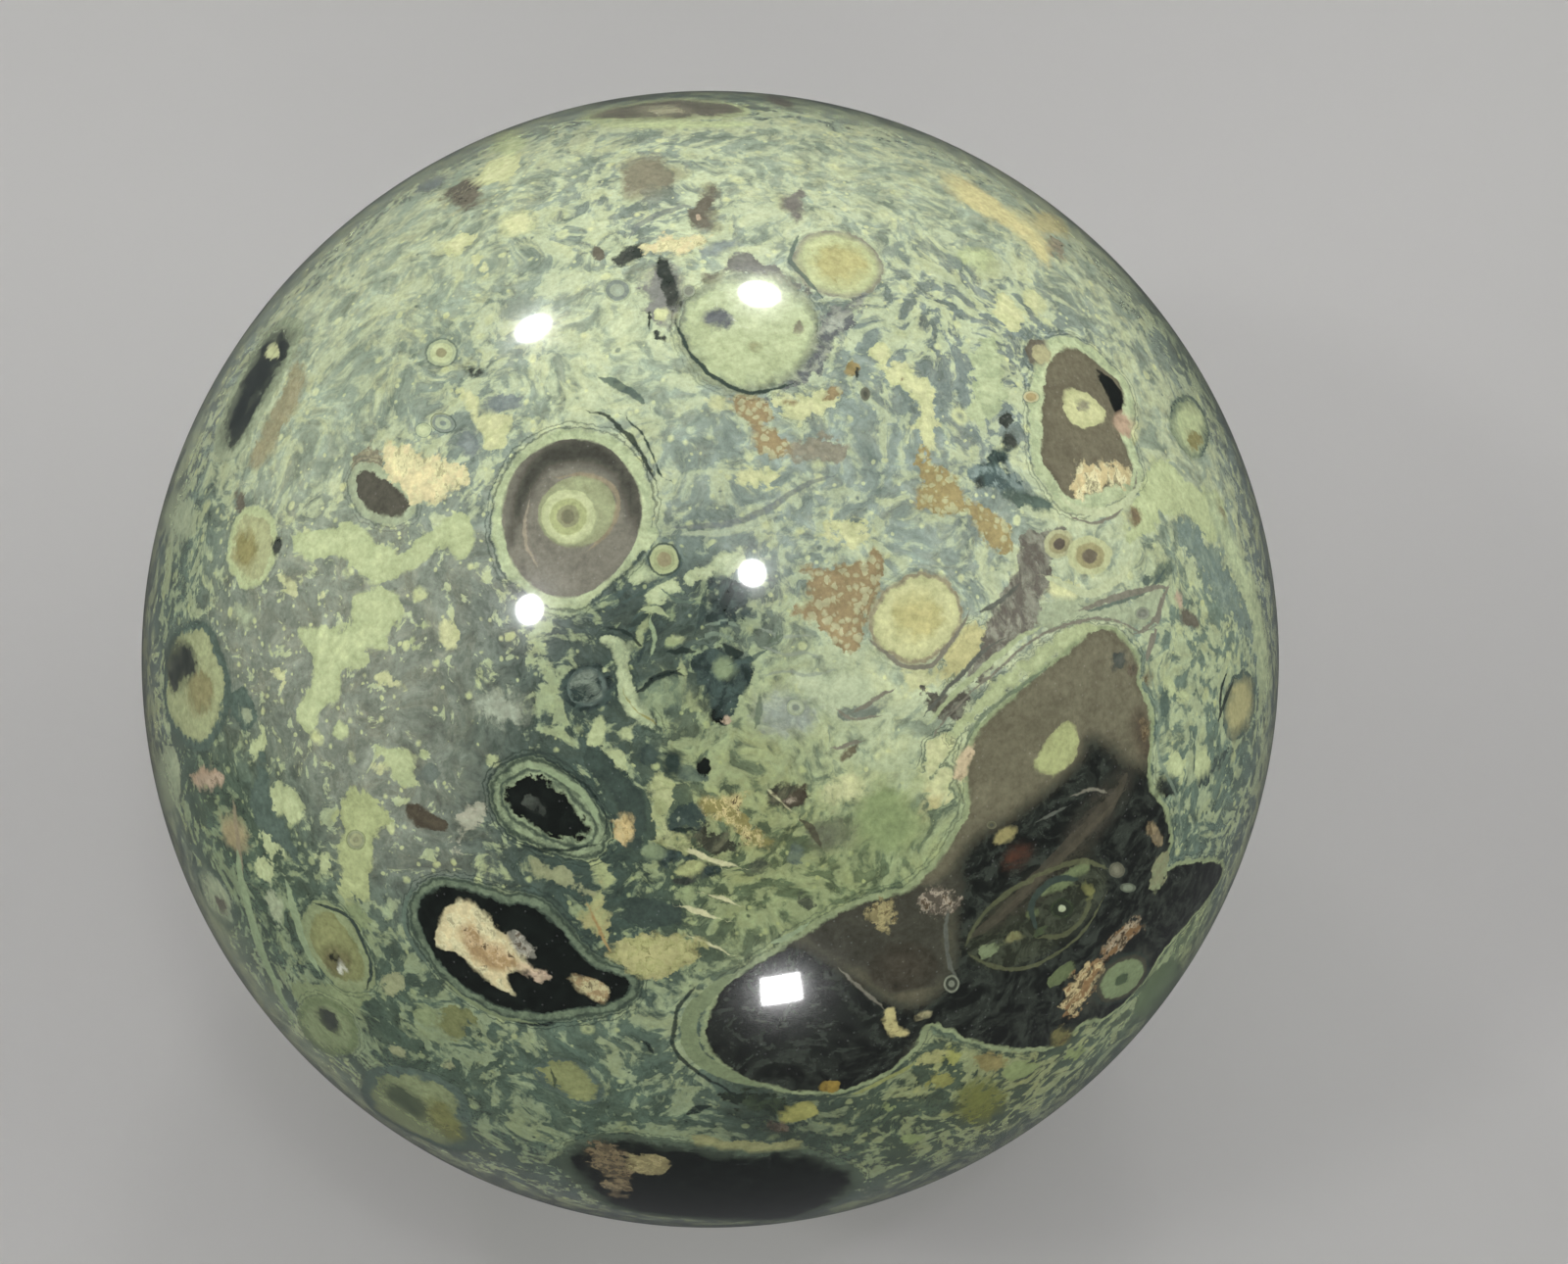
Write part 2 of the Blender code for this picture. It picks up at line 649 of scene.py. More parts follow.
class Pattern:
    """The stone's pattern, as values at the mesh's vertices and face corners."""

    KEEP = 2.4  # mm, how far outside a marking its distance is kept
    FLOW_REACH = 13.0  # mm, how far the ground runs round a body
    FLOW_BLEND = 0.9  # mm, how gently the runs round two bodies meet
    FLOW_FADE = 3.0  # mm, how far from a body its bands fade
    FAR_FLOW = 0.35  # share of the bands that stays far from every body
    COVER_SPREAD = 0.38  # how far the level of the pale colour moves with its share
    BASE_WEIGHT = 0.12  # how much the base ground counts beside a zone at its middle
    ZONE_FALL = 1.4  # how steeply a zone fades past its reach
    STROKE_MARGIN = 0.8  # mm, how far beside a stroke its faces go on
    EYE_MARGIN = 0.4  # mm, the same past an eye and its outer line
    EYE_REACH = 1.5  # how far an eye's edge and outer line may lie, beside its own reach
    FLOW_DEPTH = 2.0  # mm, how deep inside a body its pull on the flow still grows
    STROKE_CHANNELS = 3
    EYE_CHANNELS = 2

    def __init__(self, view: Viewpoint, directions: np.ndarray, quads: np.ndarray) -> None:
        """Starts with bare ground.

        Args:
            view: what casts outlines onto the ball; a chart may take the camera's place.
            directions: unit vectors to the mesh's vertices.
            quads: the vertices of each face.
        """
        self.view: Viewpoint | Chart = view
        self.radius_mm = view.ball.radius_mm
        self.directions = directions
        self.quads = quads
        self.face_middles = unit(directions[quads].mean(axis=1))
        self.layers = {layer: LayerValues(len(directions)) for layer in Layer}
        self.strokes, self.eyes = (
            [FaceChannel(len(quads), fields) for _ in range(count)]
            for fields, count in ((("line", "tone"), self.STROKE_CHANNELS),
                                  (("disc", "rim", "ring", "pupil"), self.EYE_CHANNELS)))
        self.flow = np.full(len(directions), math.exp(-self.FLOW_REACH / self.FLOW_BLEND))
        self.ground: dict[str, np.ndarray] = {}

    def look_at(self, middle: np.ndarray) -> Chart:
        """Takes outlines in mm on a chart round a direction from now on, and hands the chart back."""
        self.view = Chart(middle, self.radius_mm)
        return self.view

    def near(self, chart: Chart, reach: float, places: np.ndarray) -> np.ndarray:
        """Finds the places within a reach in millimetres of a chart's middle."""
        return np.flatnonzero(places @ chart.middle > math.cos(min(reach / chart.radius_mm, math.pi)))

    def measure(self, course: np.ndarray, margin: float,
                places: np.ndarray) -> tuple[Chart, np.ndarray, np.ndarray]:
        """Lays an outline or a line out on a chart round its own middle and finds what is near it.

        Args:
            course: unit vectors, one a row.
            margin: how far round it to look, in mm.
            places: unit vectors, one a row.

        Returns:
            The chart, the course on it in mm, and the numbers of the places near it.
        """
        chart = Chart(unit(course.mean(axis=0)), self.radius_mm)
        flat = chart.flatten(course)
        return chart, flat, self.near(chart, np.linalg.norm(flat, axis=1).max() + margin, places)

    def mark(self, layer: Layer, marking: Mark) -> None:
        """Lays a marking's outlines, with their rims, and bends the ground's flow round those with a rim.

        Args:
            layer: the layer to lay them in.
            marking: the marking.
        """
        rim = marking.rim
        for outline in marking.outlines:
            chart, ring, near = self.measure(outline.directions(self.view), self.KEEP, self.directions)
            gap = edge_distance(chart.flatten(self.directions[near]), ring)
            self.layers[layer].lay(near, gap, marking.skin, marking.edge, marking.line)
            if rim:
                self.layers[Layer.RIM].lay(near, gap + rim.width, rim.skin, CLEAN, rim.line)
                far = self.near(chart, np.linalg.norm(ring, axis=1).max() + self.FLOW_REACH, self.directions)
                # Every third point of the outline will do this far out
                away = -edge_distance(chart.flatten(self.directions[far]), ring[::3])
                self.flow[far] += np.exp(-np.clip(away, -self.FLOW_DEPTH, self.FLOW_REACH) / self.FLOW_BLEND)

    def tint(self, tint: Tint) -> None:
        """Changes one layer's colours softly inside an outline.

        Args:
            tint: the change.
        """
        chart, ring, near = self.measure(tint.outline.directions(self.view), tint.blend, self.directions)
        gap = edge_distance(chart.flatten(self.directions[near]), ring)
        self.layers[tint.layer].tint(near, gap, tint.skin, tint.blend)

    def draw(self, stroke: Stroke) -> None:
        """Draws each course of a stroke in the first channel that has room for it.

        Args:
            stroke: the stroke.
        """
        margin = stroke.width / 2 + self.STROKE_MARGIN
        for course in stroke.courses:
            chart, line, near = self.measure(self.view.cast(smooth_curve(course, closed=False)), margin,
                                             self.face_middles)
            gap = np.abs(place_on_line(chart.flatten(self.face_middles[near]), line)[0])
            near, gap = near[gap < margin], gap[gap < margin]
            corners = chart.flatten(self.directions[self.quads[near]].reshape(-1, 3))
            across, along = place_on_line(corners, line)
            half = np.full(len(across), stroke.width / 2)
            channel = next((some for some in self.strokes if some.has_room(near)), self.strokes[-1])
            channel.own(near, gap, np.stack([across, along, half, half], axis=1),
                        [*linear(stroke.tone)[:3], stroke.strength])

    def set_eye(self, eye: Eye) -> None:
        """Sets one small eye in the first channel that has room for it.

        Args:
            eye: the eye.
        """
        thrown = eye.outline.axes(self.view)
        chart = Chart(thrown[0], self.radius_mm)
        axes = chart.flatten(thrown[1:])
        size = np.linalg.norm(axes, axis=1).max()
        near = self.near(chart, self.EYE_REACH * size + self.EYE_MARGIN, self.face_middles)
        gap = np.linalg.norm(chart.flatten(self.face_middles[near]), axis=1)
        disc = chart.flatten(self.directions[self.quads[near]].reshape(-1, 3)) @ np.linalg.inv(axes)
        channel = next((some for some in self.eyes if some.has_room(near)), self.eyes[-1])
        channel.own(near, gap, np.column_stack([disc, np.full((len(disc), 2), (size, 1.0))]),
                    [*linear(eye.rim)[:3], eye.line, *linear(eye.ring)[:3], eye.ring_share,
                     *linear(eye.pupil)[:3], eye.pupil_share])

    def lay_ground(self, base: Ground, zones: Iterable[tuple[Ground, np.ndarray, float]]) -> None:
        """Blends the kinds of ground over the ball.

        Args:
            base: the ground where no zone reaches.
            zones: each zone's ground, direction and reach in mm.
        """
        total = np.full(len(self.directions), self.BASE_WEIGHT)
        blend = total[:, None] * base.facts()
        for ground, middle, reach in zones:
            turn = np.arccos(np.clip(self.directions @ middle, -1.0, 1.0)) * self.radius_mm
            weight = np.exp(-(turn / reach) ** 2 * self.ZONE_FALL)
            total += weight
            blend += weight[:, None] * ground.facts()
        blend /= total[:, None]
        cover, soft, specks, flow, veins, fine = blend[:, 6:].T
        away = -self.FLOW_BLEND * np.log(self.flow)
        threshold = 0.5 + (0.5 - cover) * self.COVER_SPREAD
        fading = np.exp(-np.maximum(away, 0.0) / self.FLOW_FADE)
        bands = flow * (self.FAR_FLOW + (1 - self.FAR_FLOW) * fading)
        ones = np.ones(len(total))
        self.ground = {"ground_deep": np.column_stack([blend[:, :3], ones]),
                       "ground_pale": np.column_stack([blend[:, 3:6], ones]),
                       "ground_mix": np.column_stack([threshold, soft, specks, fine]),
                       "ground_run": np.column_stack([bands, veins, away, ones])}

    def write(self, mesh: bpy.types.Mesh) -> None:
        """Keeps every value on the mesh as a colour attribute that the material reads.

        Args:
            mesh: the ball's mesh.
        """
        kept = dict(self.ground)
        for layer, values in self.layers.items():
            kept[f"{layer.value}_shape"] = np.column_stack([values.gap, values.facts[:, :3]])
            kept[f"{layer.value}_fill"] = values.facts[:, 3:7]
            kept[f"{layer.value}_vein"] = values.facts[:, 7:]
        for title, channels in (("stroke", self.strokes), ("eye", self.eyes)):
            for number, channel in enumerate(channels):
                for place, name in enumerate(channel.fields):
                    kept[f"{title}_{number}_{name}"] = channel.values[..., 4 * place:4 * place + 4]
        for name, values in kept.items():
            attribute = mesh.attributes.new(name, "FLOAT_COLOR", "CORNER" if values.ndim == 3 else "POINT")
            attribute.data.foreach_set("color", np.ascontiguousarray(values, dtype=np.float32).ravel())


class Graph:
    """A material's nodes."""

    def __init__(self, tree: bpy.types.NodeTree) -> None:
        """Clears the tree."""
        self.tree = tree
        tree.nodes.clear()

    def add(self, kind: str, *feeds: Any, out: int | str = 0, **named: Any) -> Socket | None:
        """Adds one node, links or fills its inputs and sets its options.

        Args:
            kind: the node's type, without the leading "ShaderNode", and after a blank its operation.
            *feeds: for each input in turn, a socket to link or a value to set.
            out: the output to hand back, by number or name.
            **named: inputs by their names, with _ for a blank, and the node's own settings in small letters.

        Returns:
            The output socket, through which the node's other outputs can be had too.
        """
        kind, _, operation = kind.partition(" ")
        node = self.tree.nodes.new(f"ShaderNode{kind}")
        if operation:
            node.operation = operation
        inputs = dict(enumerate(feeds))
        for name, value in named.items():
            if name[0].isupper():
                inputs[name.replace("_", " ")] = value
            else:
                setattr(node, name, value)
        for slot, feed in inputs.items():
            if isinstance(feed, Socket):
                self.tree.links.new(feed, node.inputs[slot])
            else:
                node.inputs[slot].default_value = feed
        return node.outputs[out] if node.outputs else None

    def read(self, name: str) -> tuple[Socket, ...]:
        """An attribute of the mesh: its colour, the same as three numbers, and its fourth number."""
        colour = self.add("Attribute", attribute_name=name, out="Color")
        return colour, *self.add("SeparateXYZ", colour).node.outputs, colour.node.outputs["Alpha"]


@dataclass(frozen=True)
class LappedJasper:
    """Kambaba jasper, sawn, ground round and lapped with fine grit to a gloss.

    It gives the eye a hard clear shine over a pattern that lies wholly in the stone, with a faint haze round
    each glint from lapping marks too fine to see one by one.
    """

    name: str = "lapped_kambaba_jasper"
    haze: Point = (0.16, 0.25)  # roughness of the lapping marks, least and most
    gloss: float = 0.05  # roughness of the polish over them
    undershine: float = 0.28  # how much the lapped surface shines by itself under the polish
    cloud: float = 0.1  # how far the colour's slow changes go, as a share
    grit: float = 0.22  # how far the grain's go
    drift: float = 6.0  # mm, the length of the ground's wide bends
    curl: float = 1.1  # mm, the length of its tight ones
    blotch: float = 2.3  # mm, the size of its wide patches
    curd: float = 0.85  # mm, the size of its small ones
    coast: float = 1.5  # mm, the size of the bays in an outline
    tooth: float = 0.5  # mm, the size of its teeth
    grain: float = 0.36  # mm, the finest grain that the render can show, drawn coarser than the real one
    speck: float = 0.95  # mm, the spacing of the small dots
    mote: float = 0.5  # mm, the spacing of the smallest dots
    pit: float = 0.7  # mm, the spacing of the dark ones
    ring: float = 1.9  # mm, the spacing of dots with a dark heart
    ripple: float = 0.55  # mm, the spacing of the rings inside an edge
    melt: float = 4.0  # how many times wider an edge blends where it melts into the ground
    band: float = 1.15  # mm, the spacing of the bands round a body
    crystal: float = 0.5  # mm, the size of the crystals
    line_stray: Point = (0.10, 0.06)  # mm, how far a thin line strays in bays and in teeth
    line_end: float = 0.4  # how bluntly a thin line ends
    eye_stray: Point = (0.08, 0.05)  # how far a small eye's rings stray, as shares of its reach
    eye_line: float = 1.08  # where its outer line runs, as a share of its reach
    line_tone: str = "#36423A"
    deep_hue: tuple[float, ...] = (1.14, 1.0, 0.88)  # what turns the deep colour brown in places
    pale_hue: tuple[float, ...] = (1.10, 1.02, 0.82)  # and the pale colour yellow
    deep_shade: Point = (0.62, 1.42)  # how light the deep colour is, least and most
    pale_shade: Point = (0.84, 1.14)  # the same for the pale colour
    mark_shade: Point = (0.87, 1.13)  # and for the markings
    dot_hue: tuple[float, ...] = (1.16, 1.12, 1.0)  # what turns the pale colour into a pale dot's
    dot_shade: float = 0.72  # and the deep colour into a dark dot's
    brink: float = 0.035  # how far below the pale field's level a thin dark line runs
    hairlines: tuple[Point, ...] = ((0.10, 0.07), (0.36, 0.035))  # mm outside an edge, and half a width
    crack_tone: str = "#4A3D2A"

    def build(self) -> bpy.types.Material:
        """Makes the material.

        Returns:
            The material, which reads the pattern's attributes from the mesh.
        """
        material = bpy.data.materials.new(self.name)
        material.use_nodes = True
        paint = JasperPaint(material.node_tree, self)
        add = paint.add
        colour, rise = paint.ground()
        for layer in (Layer.PATCH, Layer.RUST, Layer.RIM, Layer.BODY, Layer.CORE):
            colour = paint.layer(layer, colour, rise if layer is Layer.PATCH else paint.coast)
        for number in range(Pattern.STROKE_CHANNELS):
            colour = paint.stroke(number, colour)
        for layer in (Layer.PUPIL, Layer.CRYSTAL):
            colour = paint.layer(layer, colour, paint.coast)
        for number in range(Pattern.EYE_CHANNELS):
            colour = paint.eye(number, colour)
        tone = add("Math MULTIPLY", paint.vary(paint.slow[2], 1 - self.cloud, 1 + self.cloud),
                   add("MapRange", paint.grain, 0.25, 0.75, 1 - self.grit, 1 + self.grit))
        colour = add("VectorMath SCALE", colour, Scale=tone)
        rough = paint.vary(paint.grain, *self.haze)
        shader = add("BsdfPrincipled", colour, Roughness=rough, Metallic=0.0, IOR=QUARTZ_IOR,
                     Specular_IOR_Level=self.undershine, Coat_Weight=1.0, Coat_Roughness=self.gloss,
                     Coat_IOR=QUARTZ_IOR)
        add("OutputMaterial", shader)
        return material


class JasperPaint(Graph):
    """The nodes that paint the stone, over a fine structure that all its parts share."""

    USUAL = (0.3, 0.7)  # where most of a noise lies
    SPAN = 4.4  # what stretches a noise to about -1 to 1
    TOOTH_SHARE = 0.7  # how far teeth stray beside bays

    def __init__(self, tree: bpy.types.NodeTree, finish: LappedJasper) -> None:
        """Makes the fine structure.

        Args:
            tree: the material's node tree.
            finish: the sizes and tones.
        """
        super().__init__(tree)
        add = self.add
        self.finish = finish
        # Places in mm: the plain one, one bent as the stone once flowed, and two that are hardly bent
        self.place = add("VectorMath SCALE", add("TexCoord", out="Object"), Scale=1.0 / MM)
        wide = self.shake(self.place, finish.drift, 0.8)
        self.strayed = self.shake(wide, finish.curl, 0.9)
        self.swayed = self.shake(self.place, finish.curl, 0.35)
        toothed = self.shake(self.place, finish.tooth, 0.8)
        # The bays of an outline and its small teeth, about -1 to 1
        self.coast, self.fray = (
            add("Math MULTIPLY_ADD", self.noise(self.place, size, detail, 0.6), self.SPAN, -self.SPAN / 2)
            for size, detail in ((finish.coast, 4.0), (finish.tooth, 3.0)))
        self.grain = self.noise(self.place, finish.grain, 3.0, 0.7)
        # Three slow shares round 0.5, and what follows from them in every layer
        tones = self.noise(self.strayed, finish.coast, 5.0, 0.65, out="Color")
        self.slow = tuple(add("SeparateXYZ", tones).node.outputs)
        self.melt = add("MapRange", self.slow[1], 0.44, 0.62, 1.0, finish.melt)
        self.shade = self.vary(self.slow[0], *finish.mark_shade)
        self.hairlines = tuple((offset, add("MapRange", self.coast, -0.7, 0.5, 0.02, reach))
                               for offset, reach in finish.hairlines)
        # Where a second colour breaks through, the clear drops in an iron stain, and pale motes
        self.broken = add("MapRange", self.noise(self.strayed, finish.coast * 0.6, 5.0, 0.65), 0.44, 0.6)
        drops = add("TexVoronoi", Vector=toothed, Scale=1 / (finish.tooth * 0.8))
        reach = add("Math MULTIPLY", add("SeparateXYZ", drops.node.outputs["Color"]), 0.7)
        self.lace = add("MapRange", add("Math SUBTRACT", reach, drops), -0.12, 0.1)
        motes = add("TexVoronoi", Vector=self.place, Scale=1 / finish.mote)
        self.dust = add("MapRange", motes, 0.06, 0.15, 0.05, 0.0)
        # The tones of broken crystals and the pits between them
        lengthened = add("VectorMath MULTIPLY", toothed, (1.0, 0.6, 1.0))
        splinter = add("TexVoronoi", Vector=lengthened, Scale=1 / finish.crystal, out="Color")
        broken = add("Math MULTIPLY_ADD", add("SeparateXYZ", splinter), 0.28,
                     self.noise(lengthened, finish.crystal, 4.0, 0.75))
        self.crack = add("MapRange", broken, 0.47, 0.55, 1.0, 0.0)
        self.shard = add("MapRange", broken, 0.58, 0.7)

    def noise(self, place: Socket, size: float, detail: float, roughness: float = 0.5,
              out: int | str = 0) -> Socket:
        """A noise of one size in mm."""
        return self.add("TexNoise", Vector=place, Scale=1 / size, Detail=detail, Roughness=roughness, out=out)

    def vary(self, noise: Socket, low: float, high: float) -> Socket:
        """Takes the range where most of a noise lies to another range."""
        return self.add("MapRange", noise, *self.USUAL, low, high)

    def shake(self, place: Socket, size: float, share: float) -> Socket:
        """Bends a place by a noise.

        Args:
            place: the place to bend.
            size: the noise's size in mm.
            share: how far the place moves at most, as a share of that size.

        Returns:
            The bent place.
        """
        reach = size * share
        bend = self.add("VectorMath MULTIPLY_ADD", self.noise(place, size, 2.0, out="Color"), (reach,) * 3,
                        (-reach / 2,) * 3)
        return self.add("VectorMath ADD", place, bend)

    def ground(self) -> tuple[Socket, Socket]:
        """Paints the ground that lies between the markings.

        Returns:
            The ground's colour, and how high its pale field rises over its level, about -1 to 1.
        """
        add, finish = self.add, self.finish
        _, threshold, soft, specks, fine = self.read("ground_mix")
        _, flow, veins, away, _ = self.read("ground_run")
        slow = add("VectorMath SCALE", self.strayed, Scale=0.22 / finish.band)
        bands = add("TexNoise", Vector=slow, W=add("Math MULTIPLY", away, 0.85 / finish.band), Scale=1.0,
                    Detail=6.0, Roughness=0.6, noise_dimensions="4D")
        patches = add("MapRange", fine, 0.0, 1.0, self.noise(self.strayed, finish.blotch, 6.0, 0.6),
                      self.noise(self.strayed, finish.curd, 4.0, 0.55))
        height = add("MapRange", flow, 0.0, 1.0, patches, bands)
        low, high = add("Math SUBTRACT", threshold, soft), add("Math ADD", threshold, soft)
        light = add("MapRange", height, low, high, interpolation_type="SMOOTHSTEP")
        hue = add("MapRange", self.slow[1], 0.46, 0.66, 0.0, 0.45)
        deep, pale = (
            add("VectorMath SCALE", add("MixRGB", hue, colour, add("VectorMath MULTIPLY", colour, turned)),
                Scale=self.vary(self.slow[0], low, high))
            for colour, (low, high), turned in (
                (self.read("ground_deep")[0], finish.deep_shade, finish.deep_hue),
                (self.read("ground_pale")[0], finish.pale_shade, finish.pale_hue)))
        pit = add("Math SUBTRACT", threshold, height)
        line = add("Math ABSOLUTE", add("Math SUBTRACT", pit, finish.brink))
        line = add("Math MULTIPLY", add("MapRange", line, 0.003, 0.014, 1.0, 0.0), self.broken)
        ink = add("Math MULTIPLY", add("Math MAXIMUM", add("MapRange", pit, 0.09, 0.15), line), veins)
        deep = add("MixRGB", ink, deep, linear(finish.line_tone))
        colour = add("MixRGB", light, deep, pale)
        bright = add("VectorMath MULTIPLY", pale, finish.dot_hue)
        dim = add("VectorMath SCALE", deep, Scale=finish.dot_shade)
        few = add("Math MULTIPLY", specks, 0.3)
        for spacing, least, most, share, inner, outer in (
                (finish.pit, 0.05, 0.3, few, dim, dim), (finish.ring, 0.16, 0.34, few, deep, bright),
                (finish.speck, 0.06, 0.36, specks, bright, bright),
                (finish.mote, 0.04, 0.34, specks, bright, bright)):
            dots, heart = self.dots(spacing, least, most, share)
            colour = add("MixRGB", dots, colour, add("MixRGB", heart, outer, inner))
        return colour, add("MapRange", pit, 0.15, -0.15, -1.4, 1.4)

    def dots(self, spacing: float, least: float, most: float, specks: Socket) -> tuple[Socket, Socket]:
        """Scatters small round dots.

        Args:
            spacing: how far apart they lie, in mm.
            least: the reach of the smallest, as a share of the spacing.
            most: the reach of the largest.
            specks: how many of them show, from 0 to 1.

        Returns:
            The dots' cover and that of their hearts, from 0 to 1.
        """
        add = self.add
        distance = add("TexVoronoi", Vector=self.swayed, Scale=1 / spacing)
        size, draw, _ = add("SeparateXYZ", distance.node.outputs["Color"]).node.outputs
        reach = add("Math MULTIPLY_ADD", self.fray, 0.06, add("MapRange", size, 0.0, 1.0, least, most))
        dot = add("MapRange", distance, add("Math SUBTRACT", reach, 0.13), reach, 1.0, 0.0)
        heart = add("MapRange", distance, 0.0, add("Math MULTIPLY", reach, 0.5), 1.0, 0.0)
        return add("Math MULTIPLY", dot, add("Math LESS_THAN", draw, specks)), heart

    def layer(self, layer: Layer, below: Socket, stray: Socket) -> Socket:
        """Lays one layer of markings over what is below it.

        Args:
            layer: which layer.
            below: the colour so far.
            stray: how an edge strays at large, about -1 to 1.

        Returns:
            The colour with the layer on it.
        """
        add = self.add
        _, gap, wander, soft, line = self.read(f"{layer.value}_shape")
        fill, *_, mottle = self.read(f"{layer.value}_fill")
        vein, *_, rings = self.read(f"{layer.value}_vein")
        soft = add("Math MULTIPLY", soft, self.melt)
        stray = add("Math MULTIPLY_ADD", self.fray, self.TOOTH_SHARE, stray)
        edge = add("Math MULTIPLY_ADD", wander, stray, gap)
        cover = add("MapRange", edge, add("Math MULTIPLY", soft, -1.0), soft, interpolation_type="SMOOTHSTEP")
        through = {Layer.RUST: self.lace, Layer.CRYSTAL: self.shard}.get(layer, self.broken)
        colour = add("MixRGB", add("Math MULTIPLY", through, mottle), fill, vein)
        if layer is Layer.CRYSTAL:
            cracks = add("Math MULTIPLY", self.crack, mottle)
            colour = add("MixRGB", cracks, colour, linear(self.finish.crack_tone))
        if layer is Layer.BODY:
            colour = add("VectorMath ADD", colour, self.dust)
        ripple = add("Math SINE", add("Math MULTIPLY", edge, 2 * math.pi / self.finish.ripple))
        ripple = add("Math MULTIPLY", add("MapRange", ripple, -0.2, 1.0), rings)
        shade = add("Math MULTIPLY", self.shade, add("MapRange", edge, 0.0, 0.5, 0.86, 1.0))
        colour = add("VectorMath SCALE", add("MixRGB", ripple, colour, vein), Scale=shade)
        colour = add("MixRGB", cover, below, colour)
        for offset, thin in self.hairlines:
            rim = add("Math SUBTRACT", add("Math ABSOLUTE", add("Math ADD", edge, offset)), thin)
            rim = add("Math MULTIPLY", add("MapRange", rim, -0.03, 0.04, 1.0, 0.0), line)
            colour = add("MixRGB", rim, colour, linear(self.finish.line_tone))
        return colour

    def stroke(self, number: int, below: Socket) -> Socket:
        """Draws one channel of strokes.

        Args:
            number: the channel.
            below: the colour so far.

        Returns:
            The colour with the strokes on it.
        """
        add = self.add
        in_bays, in_teeth = self.finish.line_stray
        _, across, along, half, _ = self.read(f"stroke_{number}_line")
        tone, *_, strength = self.read(f"stroke_{number}_tone")
        taper = add("Math MULTIPLY", along, add("Math SUBTRACT", 1.0, along))
        taper = add("Math POWER", taper, self.finish.line_end)
        # 1.75 brings the taper back to about one at the middle of the line
        reach = add("Math MULTIPLY", add("Math MULTIPLY", taper, half), 1.75)
        gap = add("Math ABSOLUTE", add("Math MULTIPLY_ADD", self.coast, in_bays, across))
        gap = add("Math MULTIPLY_ADD", self.fray, in_teeth, add("Math SUBTRACT", reach, gap))
        cover = add("Math MULTIPLY", add("MapRange", gap, -0.03, 0.05), strength)
        return add("MixRGB", cover, below, tone)

    def eye(self, number: int, below: Socket) -> Socket:
        """Draws one channel of small eyes.

        Args:
            number: the channel.
            below: the colour so far.

        Returns:
            The colour with the eyes on it.
        """
        add = self.add
        in_bays, in_teeth = self.finish.eye_stray
        disc, *_, present = self.read(f"eye_{number}_disc")
        far = add("VectorMath LENGTH", add("VectorMath MULTIPLY", disc, (1.0, 1.0, 0.0)), out="Value")
        far = add("Math MULTIPLY_ADD", self.coast, in_bays, far)
        far = add("Math MULTIPLY_ADD", self.fray, in_teeth, far)
        colour = below
        for part in ("rim", "ring", "pupil"):
            tone, *_, share = self.read(f"eye_{number}_{part}")
            if part == "rim":
                line, share = share, 1.0
            inside = add("Math SUBTRACT", share, far)
            cover = add("MapRange", inside, -0.06, 0.06, interpolation_type="SMOOTHSTEP")
            colour = add("MixRGB", add("Math MULTIPLY", cover, present), colour, tone)
        outer = add("Math ABSOLUTE", add("Math SUBTRACT", far, self.finish.eye_line))
        outer = add("Math MULTIPLY", add("MapRange", outer, 0.03, 0.1, 1.0, 0.0), line)
        return add("MixRGB", add("Math MULTIPLY", outer, present), colour, linear(self.finish.line_tone))


class Grounds:
    """The kinds of ground that this stone has."""

    SAGE = Ground("#929F88", "#B2BB99", 0.5, 0.06, specks=0.4, flow=0.22, veins=0.1, fine=0.4)
    LICHEN = Ground("#808E7D", "#A6AF8D", 0.42, 0.05, specks=0.5, flow=0.2, veins=0.15, fine=0.5)
    ISLANDS = Ground("#858C7C", "#B4BF96", 0.22, 0.02, specks=0.6, flow=0.1, veins=0.1, fine=0.8)
    MOTTLED = Ground("#74807A", "#B5C09C", 0.5, 0.03, specks=0.4, flow=0.3, veins=0.4, fine=0.6)
    SPECKLED = Ground("#87958A", "#AEB99A", 0.42, 0.05, specks=0.75, flow=0.3, veins=0.1, fine=0.6)
    PALE = Ground("#95A28B", "#BEC9A4", 0.6, 0.06, specks=0.3, flow=0.35, veins=0.1, fine=0.4)
    DEEP = Ground("#35443E", "#7B8C69", 0.36, 0.04, specks=0.2, flow=0.5, veins=0.8, fine=0.75)
    STREAKED = Ground("#3D4D44", "#96A47E", 0.42, 0.02, specks=0.25, flow=0.9, veins=0.8, fine=0.5)
    GREEN = Ground("#5E6D4A", "#8F9D70", 0.55, 0.05, specks=0.2, flow=0.3, veins=0.35, fine=0.5)
    OLIVE = Ground("#454F3B", "#969A68", 0.5, 0.03, specks=0.35, flow=0.3, veins=0.6, fine=0.7)
    TEAL = Ground("#465746", "#7C8C6C", 0.45, 0.03, specks=0.3, flow=0.55, veins=0.6, fine=0.6)
    MOSS = Ground("#6F8070", "#A8B48E", 0.52, 0.05, specks=0.45, flow=0.15, veins=0.25, fine=0.7)
    BLUE_GREEN = Ground("#586A5B", "#96A482", 0.46, 0.03, specks=0.35, flow=0.45, veins=0.5, fine=0.6)
    DARK = Ground("#283029", "#4F5A4A", 0.35, 0.03, specks=0.15, flow=0.6, veins=0.4, fine=0.5)


